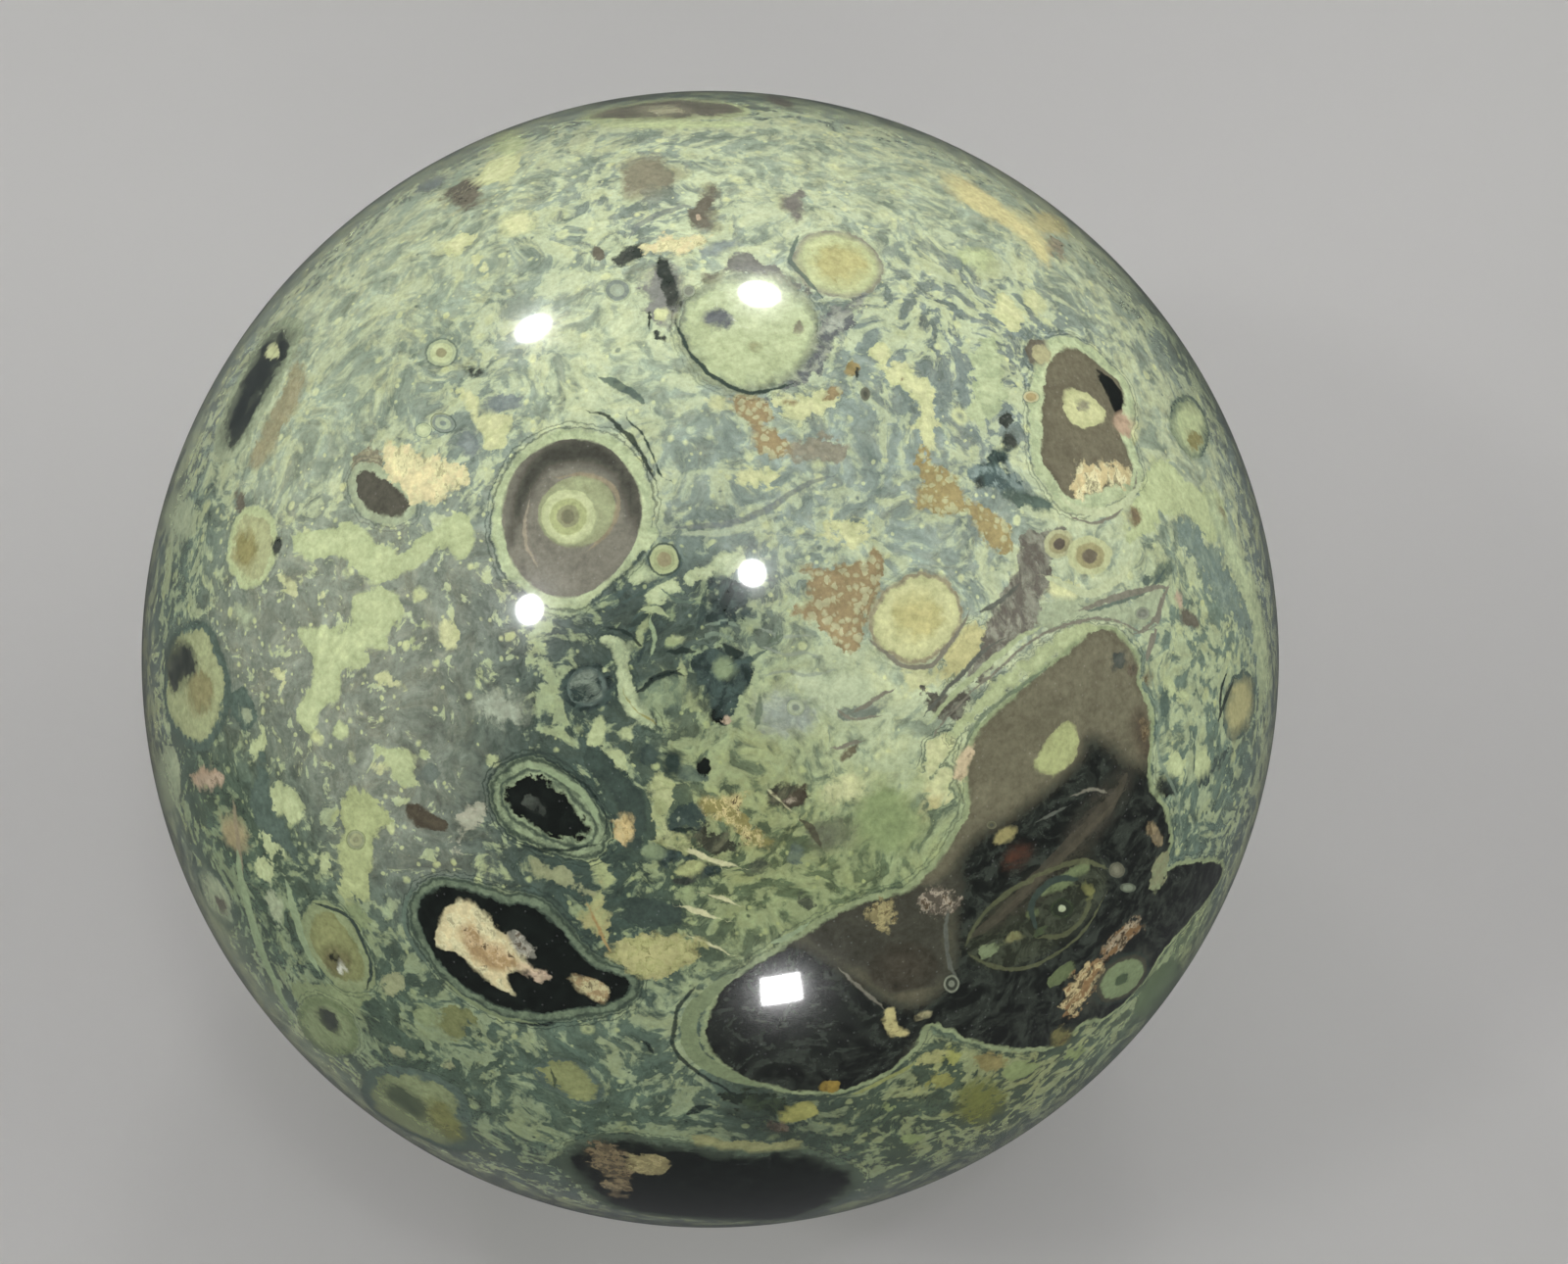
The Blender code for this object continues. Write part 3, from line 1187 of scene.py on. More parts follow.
@dataclass(frozen=True)
class ShownSide:
    """The half of the pattern that the photograph shows, read from it."""

    # The kinds of ground, each round its own middles
    zones: tuple[Zone, ...] = (
        Zone(Grounds.SAGE, 9, (400, 250, 330, 430, 880, 180)),
        Zone(Grounds.LICHEN, 7, (470, 340)),
        Zone(Grounds.LICHEN, 5, (380, 390)),
        Zone(Grounds.SAGE, 8, (520, 200, 1050, 220)),
        Zone(Grounds.PALE, 8, (620, 350)),
        Zone(Grounds.MOTTLED, 7, (980, 320)),
        Zone(Grounds.MOTTLED, 6, (600, 220)),
        Zone(Grounds.SPECKLED, 8, (860, 490)),
        Zone(Grounds.SPECKLED, 6, (760, 480)),
        Zone(Grounds.ISLANDS, 9, (330, 640)),
        Zone(Grounds.ISLANDS, 7, (400, 760)),
        Zone(Grounds.ISLANDS, 6, (250, 640)),
        Zone(Grounds.MOTTLED, 5, (470, 430)),
        Zone(Grounds.BLUE_GREEN, 6, (200, 590, 1140, 1050)),
        Zone(Grounds.TEAL, 8, (270, 900, 420, 1060)),
        Zone(Grounds.TEAL, 6, (240, 800)),
        Zone(Grounds.BLUE_GREEN, 8, (600, 1070, 1220, 780)),
        Zone(Grounds.TEAL, 7, (620, 1150)),
        Zone(Grounds.STREAKED, 6, (560, 770, 600, 880)),
        Zone(Grounds.DEEP, 5, (690, 650, 640, 930)),
        Zone(Grounds.DEEP, 4, (740, 620)),
        Zone(Grounds.GREEN, 5.5, (790, 770)),
        Zone(Grounds.GREEN, 6, (780, 920, 880, 850)),
        Zone(Grounds.OLIVE, 4.5, (770, 850)),
        Zone(Grounds.PALE, 6.5, (850, 700)),
        Zone(Grounds.PALE, 4.5, (900, 745)),
        Zone(Grounds.PALE, 5, (1110, 600)),
        Zone(Grounds.MOSS, 6, (1210, 620, 1220, 700)),
        Zone(Grounds.SAGE, 6, (1200, 480)),
        Zone(Grounds.TEAL, 9, (960, 1120)),
        Zone(Grounds.OLIVE, 7, (980, 1110)),
        Zone(Grounds.OLIVE, 5, (1060, 1090)),
        Zone(Grounds.GREEN, 5, (1180, 1000)),
        Zone(Grounds.DARK, 5, (810, 1140)),
    )
    # The pale and khaki patches in the ground, and one painted reflection veil
    patches: tuple[Mark, ...] = (
        Mark(ISLAND, (Oval(518, 145, 16, 13), Oval(995, 262, 17, 12), Oval(488, 691, 7, 14)), SOFT),
        Mark(ISLAND, (Trace((301, 546, 341, 537, 352, 528, 372, 538, 390, 555, 412, 562, 428, 547, 452, 534,
            466, 521, 480, 530, 486, 556, 470, 574, 452, 560, 432, 575, 405, 592, 380, 599, 345, 570,
            318, 574, 302, 566)), Trace((360, 605, 390, 601, 410, 609, 411, 632, 396, 650, 397, 668, 380, 662,
            362, 644, 355, 624)), Trace((301, 641, 338, 637, 350, 653, 378, 668, 370, 684, 351, 686, 350, 714,
            330, 727, 321, 749, 305, 744, 302, 722, 314, 699, 316, 672)), Trace((283, 796, 298, 806, 310, 826,
            306, 842, 293, 838, 282, 820)), Trace((382, 762, 421, 764, 424, 788, 429, 802, 408, 806,
            398, 786)), Oval(347, 747, 12, 13), Oval(431, 637, 9, 7), Oval(421, 657, 6, 9),
            Oval(431, 770, 8, 6, 10)), CLEAN),
        Mark(ISLAND, (Trace((266, 740, 272, 756, 266, 775, 252, 790, 250, 778)), Trace((1172, 478, 1192, 472,
            1212, 492, 1240, 504, 1252, 528, 1238, 550, 1214, 532, 1188, 522, 1172, 540, 1150, 546)),
            Oval(275, 661, 5, 11, -10), Oval(277, 858, 13, 19, -28), Oval(503, 776, 10, 10),
            Oval(270, 887, 9, 13, -20), Oval(333, 880, 9, 15, -30), Oval(362, 655, 21, 24),
            Oval(276, 820, 14, 20, -15), Oval(938, 800, 6, 8), Oval(1197, 705, 16, 8, 25),
            Oval(1199, 782, 9, 20, -10), Oval(1227, 780, 8, 12, 10))),
        Mark(ISLAND_WARM, (Trace((903, 372, 922, 368, 955, 402, 955, 458, 940, 456, 930, 432, 932, 408,
            904, 388)), Oval(509, 174, 25, 12, -30), Oval(470, 248, 17, 9, -35), Oval(491, 271, 13, 6, 55),
            Oval(733, 412, 11, 9), Oval(895, 360, 14, 10, 20), Oval(284, 690, 8, 13),
            Oval(938, 690, 20, 10, 12), Oval(868, 805, 13, 11, 10), Oval(1083, 602, 17, 12, 10),
            Oval(1029, 321, 22, 10, 60))),
        Mark(ISLAND_WARM, (Oval(528, 227, 20, 13, -15), Oval(1055, 307, 11, 9, 60), Oval(1150, 440, 14, 16),
            Oval(861, 805, 19, 12, -20)), SOFT),
        Mark(ISLAND_WARM, (Trace((784, 411, 800, 402, 828, 403, 856, 398, 862, 406, 818, 428)),), line=0.3),
        Mark(ISLAND_WARM, (Oval(777, 487, 26, 11, -5), Oval(866, 540, 22, 14, 10)), RAGGED),
        Mark(ISLAND_WARM, (Trace((381, 688, 392, 683, 408, 692, 419, 707, 388, 700)), Trace((447, 631,
            460, 631, 472, 645, 468, 662, 456, 667, 448, 655)), Trace((277, 586, 292, 585, 305, 597, 304, 613,
            292, 606)), Oval(328, 611, 5, 11, -15), Oval(386, 785, 9, 7, 40)), CLEAN),
        Mark(ISLAND_WARM, (Trace((945, 776, 950, 757, 966, 746, 972, 756, 952, 788)),
            Oval(957, 803, 11, 7, 15), Oval(966, 790, 7, 6), Oval(968, 812, 7, 5, 30)), CLEAN, line=0.6),
        Mark(PALE_GREEN, (Trace((300, 1005, 330, 1004, 360, 1008, 380, 1022, 360, 1030, 306, 1024)),
            Oval(366, 936, 8, 14, -40), Oval(433, 1034, 12, 9, 10))),
        Mark(SAGE, (Oval(249, 628, 13, 16), Oval(181, 528, 17, 28)), SOFT),
        Mark(SAGE, (Trace((1056, 640, 1066, 615, 1100, 610, 1140, 616, 1180, 606, 1182, 622, 1160, 640,
            1120, 632)), Oval(279, 925, 7, 21, -12), Oval(172, 795, 13, 36))),
        Mark(STREAM, (Trace((991, 364, 1018, 346, 1024, 398, 1020, 420, 1002, 430, 986, 424, 994, 404)),)),
        Mark(STREAM, (Oval(653, 586, 15, 12, 30),), SOFT),
        Mark(UMBER, (Oval(475, 200, 18, 15, 10),), MIST),
        Mark(UMBER, (Oval(246, 514, 6, 15, -10),), SOFT),
        Mark(Skin("#2B332B", "#48543F", 0.7), (Oval(772, 1124, 38, 13, 12),), RAGGED),
        Mark(Skin("#3E4A44", "#56635A", 0.6), (Oval(1245, 776, 14, 5, -55), Oval(1229, 797, 9, 4, -40))),
        Mark(Skin("#4E5A50", "#5C6A5E"), (Oval(209, 764, 5, 8),), SOFT),
        Mark(Skin("#5D6C5E", "#7C8A70", 0.6), (Oval(704, 790, 16, 8, 10),), SOFT),
        Mark(Skin("#666C57", "#7C8464", 0.7), (Oval(848, 852, 24, 16, -20),), HAZE),
        Mark(Skin("#6A7A64"), (Trace((948, 1042, 962, 1040, 1012, 1064, 1000, 1070, 954, 1054)),), SOFT),
        Mark(Skin("#6B7D5E", "#5C6C4C", 0.7), (Oval(1182, 1010, 14, 34, 36),)),
        Mark(Skin("#70753F"), (Oval(1000, 1126, 24, 21, -30),), MIST),
        Mark(Skin("#76807C", "#8A948C", 0.6), (Oval(515, 411, 22, 8, -5), Oval(478, 452, 15, 12, 50),
            Oval(441, 188, 15, 6, -25)), SOFT),
        Mark(Skin("#7E8459", "", 0.6), (Oval(466, 1043, 15, 16),), RAGGED),
        Mark(Skin("#86806A", "#9A957C"), (Oval(1076, 252, 12, 9, 40),), MIST),
        Mark(Skin("#8A8C52"), (Oval(960, 1103, 15, 8, -5),)),
        Mark(Skin("#8A9A6C"), (Oval(906, 838, 34, 31, 20),), SOFT),
        Mark(Skin("#8C9A68"), (Oval(906, 1130, 9, 6), Oval(926, 1163, 12, 6, -10),
            Oval(1040, 1092, 18, 8, -12), Oval(1096, 1076, 12, 6, -25))),
        Mark(Skin("#8E8658", "", 0.6), (Oval(1012, 1084, 14, 9, 15),), RAGGED),
        Mark(Skin("#8F8B6C", "#A3A284"), (Trace((302, 368, 310, 395, 284, 446, 268, 474, 254, 470,
            286, 405)),), HAZE),
        Mark(Skin("#8F998C", "#AFB8A2", 0.8), (Oval(801, 728, 29, 19, 5),), HAZE),
        Mark(Skin("#9A9A5C"), (Trace((796, 1146, 803, 1131, 820, 1124, 836, 1131, 828, 1141)),), CLEAN),
        Mark(Skin("#9AA07A"), (Trace((532, 882, 558, 879, 585, 886, 588, 899, 610, 909, 598, 914, 548, 895)),
            Oval(402, 1005, 14, 13), Oval(406, 1073, 10, 6, 15), Oval(458, 1089, 8, 6, 10))),
        Mark(Skin("#9BAA7C"), (Oval(701, 909, 12, 9), Oval(683, 658, 7, 8), Oval(706, 657, 6, 4)), SOFT),
        Mark(Skin("#9DA25E"), (Oval(971, 1077, 7, 12),)),
        Mark(Skin("#A09672", "", 0.6), (Oval(240, 852, 12, 20, -20),), SOFT),
        Mark(Skin("#A3A978", "#B8A674"), (Trace((610, 906, 626, 940, 620, 962, 590, 938, 600, 927)),)),
        Mark(Skin("#A6A872"), (Oval(949, 1080, 17, 8, -30),)),
        # Painted reflection: a lamp's soft pale veil of light laid on the stone's colour as a misty pale
        # patch
        Mark(Skin("#A6AF99"), (Oval(508, 724, 29, 22, 10),), MIST),
        Mark(Skin("#A7B285"), (Oval(692, 653, 10, 7, 10),), RAGGED),
        Mark(Skin("#A9AC95", "#B9B4A0"), (Trace((470, 818, 488, 815, 498, 828, 470, 870, 460, 866)),)),
        Mark(Skin("#A9AE7C", "#6E7A54", 0.9), (Oval(690, 860, 22, 12, 15),), RAGGED),
        Mark(Skin("#AEB885"), (Trace((362, 800, 398, 826, 391, 850, 378, 905, 374, 917, 345, 912, 345, 880,
            346, 826)), Oval(614, 887, 18, 9, 50))),
        Mark(Skin("#B8C4A0"), (Oval(850, 702, 34, 20, 10),), MIST),
        Mark(Skin("#B9A386", "", 0.6), (Oval(211, 793, 17, 10, 5),), SOFT),
        Mark(Skin("#BDB886"), (Oval(1070, 228, 20, 10, 20),), SOFT),
        Mark(Skin("#BDB886"), (Oval(951, 820, 10, 7, -10),), CLEAN, line=0.4),
        Mark(Skin("#C0BD88"), (Trace((958, 688, 984, 645, 1002, 637, 1010, 655, 974, 688)),), line=0.5),
    )
    # The iron stains, with clear drops in them
    stains: tuple[Mark, ...] = (
        Mark(BROWN, (Oval(1246, 530, 19, 5, 78), Oval(1158, 528, 10, 5, 100)), SOFT),
        # The great stain
        Mark(RUSTY, (Trace((819, 577, 840, 579, 880, 572, 893, 562, 901, 578, 885, 630, 881, 660, 864, 665,
            828, 635, 806, 628, 803, 617, 828, 614)), Oval(765, 415, 25, 11, 30), Oval(807, 411, 8, 4))),
        Mark(RUSTY, (Oval(785, 450, 20, 12, 25),), RAGGED),
        Mark(RUSTY, (Oval(849, 402, 12, 6, -25),), CLEAN),
        Mark(Skin("#6B756B", "#78827A"), (Oval(436, 790, 14, 9, -10),)),
        Mark(Skin("#6E6A54", "#8A8C70", 0.7), (Oval(869, 766, 13, 5, -35),), SOFT),
        Mark(Skin("#80827A"), (Oval(676, 300, 22, 32, 10),), MIST),
        Mark(Skin("#85826C", "#B4B08C"), (Oval(374, 470, 18, 14, -20),), RAGGED),
        Mark(Skin("#8A8876", "#9A9680", 0.6), (Oval(833, 458, 30, 12, 5),), RAGGED),
        Mark(Skin("#9A8C60", "#7E7048"), (Oval(868, 376, 9, 8),), CLEAN),
        Mark(Skin("#9E9164", "#B6B68C", 0.95), (Trace((936, 460, 948, 458, 957, 478, 974, 485, 985, 502,
            980, 522, 960, 526, 931, 516, 941, 498)), Oval(1009, 538, 32, 13, 50))),
        Mark(Skin("#CFC892"), (Trace((963, 184, 982, 181, 1030, 215, 1067, 244, 1067, 270, 1040, 240,
            985, 208)),), SOFT),
    )
    # The pale rims and streams
    streams: tuple[Mark, ...] = (
        Mark(ISLAND, (Oval(685, 127, 84, 4),), SOFT),
        Mark(ISLAND, (Trace((612, 731, 619, 742, 614, 757, 604, 763, 598, 754)), Trace((612, 769, 630, 764,
            641, 778, 635, 790, 620, 781)), Oval(640, 749, 8, 7)), CLEAN),
        # Round the great eye
        Mark(STREAM, (Trace((502, 530, 509, 500, 528, 466, 552, 447, 582, 438, 612, 441, 640, 456, 658, 482,
            666, 512, 662, 545, 648, 572, 600, 616, 570, 620, 544, 612, 520, 590, 506, 562)), Trace((610, 655,
            624, 648, 640, 657, 640, 680, 648, 706, 672, 744, 650, 736, 634, 716, 626, 670))), CLEAN,
            line=0.6),
        Mark(STREAM, (Trace((764, 563, 758, 578, 682, 610, 664, 618, 660, 606, 680, 594, 740, 566)),)),
        Mark(STREAM, (Trace((1232, 498, 1246, 520, 1284, 610, 1294, 660, 1296, 706, 1286, 704, 1282, 660,
            1254, 570, 1236, 530)),), SOFT),
        Mark(Skin("#94966A"), (Trace((716, 1157, 776, 1168, 812, 1162, 814, 1170, 780, 1177, 712, 1168)),)),
        Mark(Skin("#9FAB80"), (Trace((654, 618, 668, 617, 656, 654, 646, 664, 650, 642)),)),
        Mark(Skin("#A3AE82"), (Trace((688, 670, 700, 680, 704, 702, 716, 724, 708, 728, 697, 708)),), CLEAN),
        # Over the great body
        Mark(Skin("#B1BC8E", "", 0.6), (Trace((1164, 694, 1160, 672, 1132, 641, 1082, 647, 998, 712, 966, 756,
            1006, 724, 1092, 661, 1138, 651)),), line=0.5),
        Mark(Skin("#B4BB8A", "#96A070", 0.7), (Trace((664, 792, 690, 802, 678, 842, 700, 862, 672, 856)),),
            RAGGED),
    )
    # The dark bodies
    bodies: tuple[Mark, ...] = (
        Mark(BLACK, (Trace((729, 700, 750, 703, 748, 716, 738, 724, 736, 737, 728, 738)),
            Oval(717, 783, 8, 10)), CLEAN),
        Mark(SOOT, (Oval(643, 259, 17, 9, -25), Oval(682, 289, 29, 8, 70)), SOFT),
        Mark(SOOT, (Trace((658, 320, 664, 318, 667, 332, 681, 346, 676, 350, 664, 341)),), CLEAN),
        Mark(PINE, (Oval(600, 701, 27, 25),), CLEAN),
        Mark(PINE, (Trace((707, 681, 719, 664, 757, 668, 766, 685, 749, 729, 736, 739, 715, 706)),)),
        Mark(SOOT, (Oval(1027, 427, 9, 6, -65), Oval(1030, 450, 9, 7, 60), Oval(1004, 486, 11, 8, -60),
            Oval(698, 899, 19, 5, -15))),
        Mark(PINE, (Trace((716, 596, 730, 586, 744, 596, 760, 600, 767, 616, 758, 634, 744, 628, 736, 642,
            722, 632, 726, 614)), Trace((660, 870, 672, 862, 730, 888, 718, 892, 696, 878, 676, 884)),
            Oval(1019, 466, 12, 7, -20)), RAGGED),
        Mark(TEAL, (Trace((268, 765, 279, 826, 296, 850, 304, 880, 262, 838, 256, 815)),
            Oval(1047, 510, 27, 8, 15), Oval(249, 726, 13, 22, -20))),
        Mark(TEAL, (Oval(1189, 719, 6, 16), Oval(1192, 803, 12, 10, 40)), SOFT),
        Mark(UMBER, (Trace((722, 190, 734, 196, 728, 214, 736, 236, 702, 226)), Oval(795, 103, 14, 4, 20),
            Oval(724, 284, 12, 6)), SOFT),
        Mark(UMBER, (Oval(610, 258, 10, 6, 80),)),
        Mark(UMBER, (Oval(1212, 630, 14, 7, 40),), RAGGED),
        Mark(Skin("#2E3A34", "#46564E"), (Oval(686, 780, 10, 14),), GLOW),
        Mark(Skin("#3C4A44", "#56645A"), (Oval(663, 771, 12, 9), Oval(698, 836, 17, 13, -5)), RAGGED),
        Mark(Skin("#3E4B43", "#4B5A50"), (Trace((596, 764, 618, 770, 656, 812, 656, 866, 642, 858, 640, 830,
            602, 788)), Oval(665, 933, 36, 15, 5))),
        Mark(Skin("#3F4236", "#6C6E56", 0.8), (Oval(802, 812, 19, 12), Oval(728, 859, 27, 12, 10)), RAGGED),
        Mark(Skin("#4A5142", "#6E775C", 0.8), (Oval(774, 885, 12, 7, -20), Oval(822, 918, 13, 7, 35)),
            RAGGED),
        Mark(Skin("#4C5C58", "#8FA098", 0.8), (Oval(1016, 488, 33, 11, 20),), RAGGED),
        Mark(Skin("#56544A", "#8A8D7A", 0.7), (Trace((940, 702, 962, 709, 1000, 698, 978, 733, 958, 730)),),
            RAGGED),
        Mark(Skin("#5A5445", "#3F3B31"), (Oval(435, 835, 26, 9, 30),), CLEAN),
        Mark(Skin("#5C6A5E", "#76836A", 0.6), (Oval(812, 872, 8, 10), Oval(1184, 586, 18, 8, -35)), SOFT),
        # The grey wedge
        Mark(Skin("#666B6A", "#A9AF9C", 0.85), (Trace((884, 296, 878, 318, 828, 382, 786, 403, 818, 368,
            842, 324)),), RAGGED),
        # The bridge
        Mark(Skin("#68655A", "#A3A692", 0.6), (Trace((1046, 545, 1078, 548, 1064, 610, 1058, 640, 1020, 668,
            1002, 692, 988, 686, 1002, 654, 1038, 572)),)),
        Mark(Skin("#6A675C", "#8A8B78", 0.6), (Trace((1062, 548, 1086, 537, 1100, 545, 1092, 540, 1072, 548,
            1064, 560)),), SOFT),
        Mark(Skin("#74756B"), (Trace((740, 276, 752, 258, 772, 264, 838, 303, 768, 280)),)),
        Mark(Skin("#75736A"), (Trace((816, 194, 818, 208, 822, 221, 812, 226, 797, 206)),), SOFT),
        Mark(Skin("#75857A", "#8C9B86", 0.6), (Trace((1196, 528, 1222, 540, 1272, 622, 1276, 650, 1262, 640,
            1215, 566)),), RAGGED),
        Mark(Skin("#7A8476", "#95A08C", 0.8), (Trace((854, 728, 890, 718, 908, 708, 904, 724, 886, 734)),),
            SOFT),
        Mark(Skin("#85826C"), (Trace((640, 165, 668, 160, 676, 170, 692, 172, 690, 186, 640, 202)),), HAZE),
        # The crystal lens
        Mark(BLACK, (Trace((427, 930, 456, 906, 512, 921, 538, 923, 560, 937, 600, 982, 638, 1000, 634, 1018,
            600, 1028, 556, 1033, 510, 1026, 474, 1006, 446, 978)),), CLEAN,
            Rim(0.7, Skin("#77866C", "#36433B", 0.5, 0.8))),
        # The black lens
        Mark(BLACK, (Trace((518, 806, 552, 794, 594, 832, 603, 852, 590, 858, 534, 838)),), rim=Rim(1,
            Skin("#93A27F", "#36433B", 0.6, 0.85), 0.9)),
        # The bottom body
        Mark(BLACK, (Trace((580, 1186, 596, 1169, 640, 1164, 752, 1179, 806, 1176, 848, 1186, 870, 1204,
            840, 1230, 780, 1245, 648, 1236, 604, 1214)),), SOFT, Rim(0.6, Skin("#5C6A58"), 0.6)),
        # The great body
        Mark(OLIVE, (Trace((1100, 657, 1118, 645, 1140, 647, 1157, 668, 1162, 698, 1174, 738, 1172, 800,
            1190, 830, 1193, 862, 1184, 890, 1206, 883, 1246, 882, 1236, 912, 1188, 968, 1166, 1002,
            1134, 1034, 1104, 1044, 1076, 1066, 1036, 1070, 990, 1060, 952, 1044, 930, 1072, 896, 1098,
            850, 1113, 798, 1111, 752, 1096, 728, 1074, 721, 1046, 732, 1018, 762, 992, 838, 942, 880, 922,
            934, 904, 984, 840, 990, 810, 988, 776, 1008, 736)),), CLEAN,
            Rim(0.3, Skin("#98A57C", "#7B8A68"), 0.5)),
        # The top lens
        Mark(UMBER, (Trace((604, 121, 645, 107, 700, 102, 757, 111, 730, 119)),), SOFT,
            Rim(0.5, ISLAND, 0.2)),
        # The limb's body
        Mark(Skin("#2A302E", "#3E4440"), (Trace((299, 345, 270, 405, 240, 455, 228, 432, 272, 345)),), HAZE,
            Rim(0.9, SAGE, 0)),
        Mark(Skin("#57564A"), (Trace((370, 480, 404, 498, 417, 514, 410, 525, 390, 525, 374, 515,
            364, 497)),), CLEAN, Rim(0.5, SAGE, 0.4)),
        # The right eye
        Mark(Skin("#6E6A56"), (Trace((1079, 359, 1100, 357, 1138, 386, 1147, 410, 1142, 438, 1152, 466,
            1152, 486, 1098, 508, 1076, 490, 1063, 460, 1067, 385)),), CLEAN, Rim(0.8, STREAM, 0.5)),
        # The great eye
        Mark(Skin("#807E70"), (Trace((512, 530, 518, 496, 536, 468, 562, 452, 592, 448, 622, 458, 645, 484,
            655, 515, 650, 548, 632, 580, 604, 603, 575, 610, 545, 600, 522, 572)),), CUT,
            Rim(0.15, STREAM, 0.3)),
    )
    # The orbs and the cores of bodies
    orbs: tuple[Mark, ...] = (
        Mark(ISLAND_WARM, (Oval(279, 359, 7, 7), Oval(674, 321, 8, 7)), SOFT),
        Mark(ISLAND_WARM, (Trace((463, 396, 478, 398, 490, 408, 491, 421, 520, 423, 523, 434, 514, 443,
            516, 453, 496, 458, 492, 446, 484, 434, 480, 420)),), CLEAN),
        Mark(SAGE, (Oval(252, 731, 6, 9, -30),), SOFT),
        Mark(SAGE, (Oval(693, 836, 3, 5),), GLOW),
        Mark(STREAM, (Oval(661, 548, 8, 14, 25),), SOFT),
        Mark(Skin("#4A5049", "#5D6055", 0.6), (Oval(1141, 672, 7, 10, 10),), SOFT),
        Mark(Skin("#4E5A3E"), (Oval(1062, 950, 8, 4, -35),), SOFT),
        Mark(Skin("#4F554C", "#2B302B", 0.7), (Oval(544, 822, 14, 7, 30),), RAGGED),
        Mark(Skin("#66724F"), (Oval(1083, 994, 19, 7, -40),), CLEAN),
        Mark(Skin("#66756C", "#4A5850", 0.7), (Oval(599, 701, 21, 20),), CUT),
        Mark(Skin("#6A7450", "#525E42"), (Oval(1055, 932, 7, 5, -25),)),
        Mark(Skin("#75825C", "#5F6A4A"), (Oval(1088, 897, 31, 6, -35),), SOFT),
        Mark(Skin("#7C8966"), (Oval(1008, 970, 11, 6, -25),)),
        Mark(Skin("#7E8050"), (Trace((1104, 902, 1112, 903, 1117, 911, 1112, 922, 1105, 926, 1109, 914)),),
            SOFT),
        Mark(Skin("#84865F", "#66643F", 0.6), (Oval(1034, 957, 9, 5, -30),)),
        Mark(Skin("#8A9470", "#8E7F62"), (Oval(1183, 891, 23, 8, -70),)),
        Mark(Skin("#8A958D"), (Oval(734, 252, 22, 8, -20),), SOFT),
        Mark(Skin("#8A9A77"), (Oval(738, 682, 12, 12), Oval(667, 869, 13, 8, 10)), GLOW),
        Mark(Skin("#8C9A78", "#5F6F5E", 0.8), (Oval(676, 706, 25, 16, -25),), SOFT),
        Mark(Skin("#9DA47E"), (Oval(589, 522, 41, 36, -25),), CUT),
        Mark(Skin("#A3A284"), (Oval(676, 112, 26, 5),), SOFT),
        Mark(Skin("#AEB57F", "#959C6C", 0.6), (Oval(703, 887, 15, 7, -20),)),
        Mark(ISLAND, (Oval(1214, 434, 26, 16, 80),), SOFT, Rim(0.4, TEAL, 0.2)),
        Mark(PALE_GREEN, (Oval(335, 1048, 27, 21, 40),), rim=Rim(0.5, GREEN, 0.5)),
        Mark(SAGE, (Oval(221, 916, 29, 11, 62),), SOFT, Rim(0.4, TEAL, 0.2)),
        # The low lens
        Mark(Skin("#8B966E", "", 0.5, 0.3), (Trace((392, 1098, 455, 1110, 468, 1138, 468, 1162, 446, 1166,
            384, 1132)),), rim=Rim(0.8, TEAL, 0.4)),
        # The low orb
        Mark(Skin("#8B9062", "", 0.3, 0.3), (Trace((321, 934, 336, 932, 352, 946, 368, 975, 370, 998,
            352, 1001, 332, 985, 317, 958)),), CLEAN, Rim(0.7, Skin("#8E9A72"), 0.5)),
        Mark(Skin("#8C9364", "", 0.3, 0.2), (Trace((551, 1096, 562, 1084, 586, 1086, 606, 1103, 611, 1119,
            594, 1124, 572, 1110, 556, 1105)),), rim=Rim(0.35, TEAL, 0.3)),
        # The left orb
        Mark(Skin("#A6AE82"), (Trace((208, 645, 229, 695, 224, 730, 207, 756, 186, 748, 171, 718,
            176, 660)),), rim=Rim(0.6, TEAL, 0.2)),
        Mark(Skin("#A8AF7B"), (Trace((1055, 776, 1080, 742, 1095, 739, 1101, 756, 1095, 776, 1078, 789,
            1064, 788)),), CLEAN, Rim(0.18, Skin("#7E6F52"), 0)),
        Mark(Skin("#A9A67F"), (Oval(1063, 362, 11, 9, 30),), CLEAN, Rim(0.4, Skin("#6E6B5B"), 0.3)),
        Mark(Skin("#ACA97A"), (Oval(1265, 720, 28, 13, -80),), SOFT, Rim(0.5, TEAL, 0)),
        Mark(Skin("#AEB286"), (Oval(257, 558, 34, 20, -85),), rim=Rim(0.5, ISLAND, 0.2)),
        # The great orb
        Mark(Skin("#B2BD92"), (Oval(764, 338, 67, 58, 0, 0.015, 1),), SOFT,
            Rim(0.25, Skin("#7F8878", "#5C665C", 0.8), 0.4), line=0.1),
        # The khaki orb
        Mark(Skin("#BCC493", "", 0.3, 0.2), (Oval(855, 270, 42, 30, 14, 0.015, 2),), GLOW,
            Rim(0.3, Skin("#8F907C"), 0.15)),
        # The yellow orb
        Mark(Skin("#C9CC98", "", 0.25, 0.2), (Trace((1084, 399, 1098, 396, 1114, 404, 1127, 421, 1121, 432,
            1103, 435, 1089, 424)), Oval(935, 631, 46, 38, -35, 0.02, 3)), CLEAN,
            Rim(0.25, Skin("#9A9478"), 0.2)),
    )
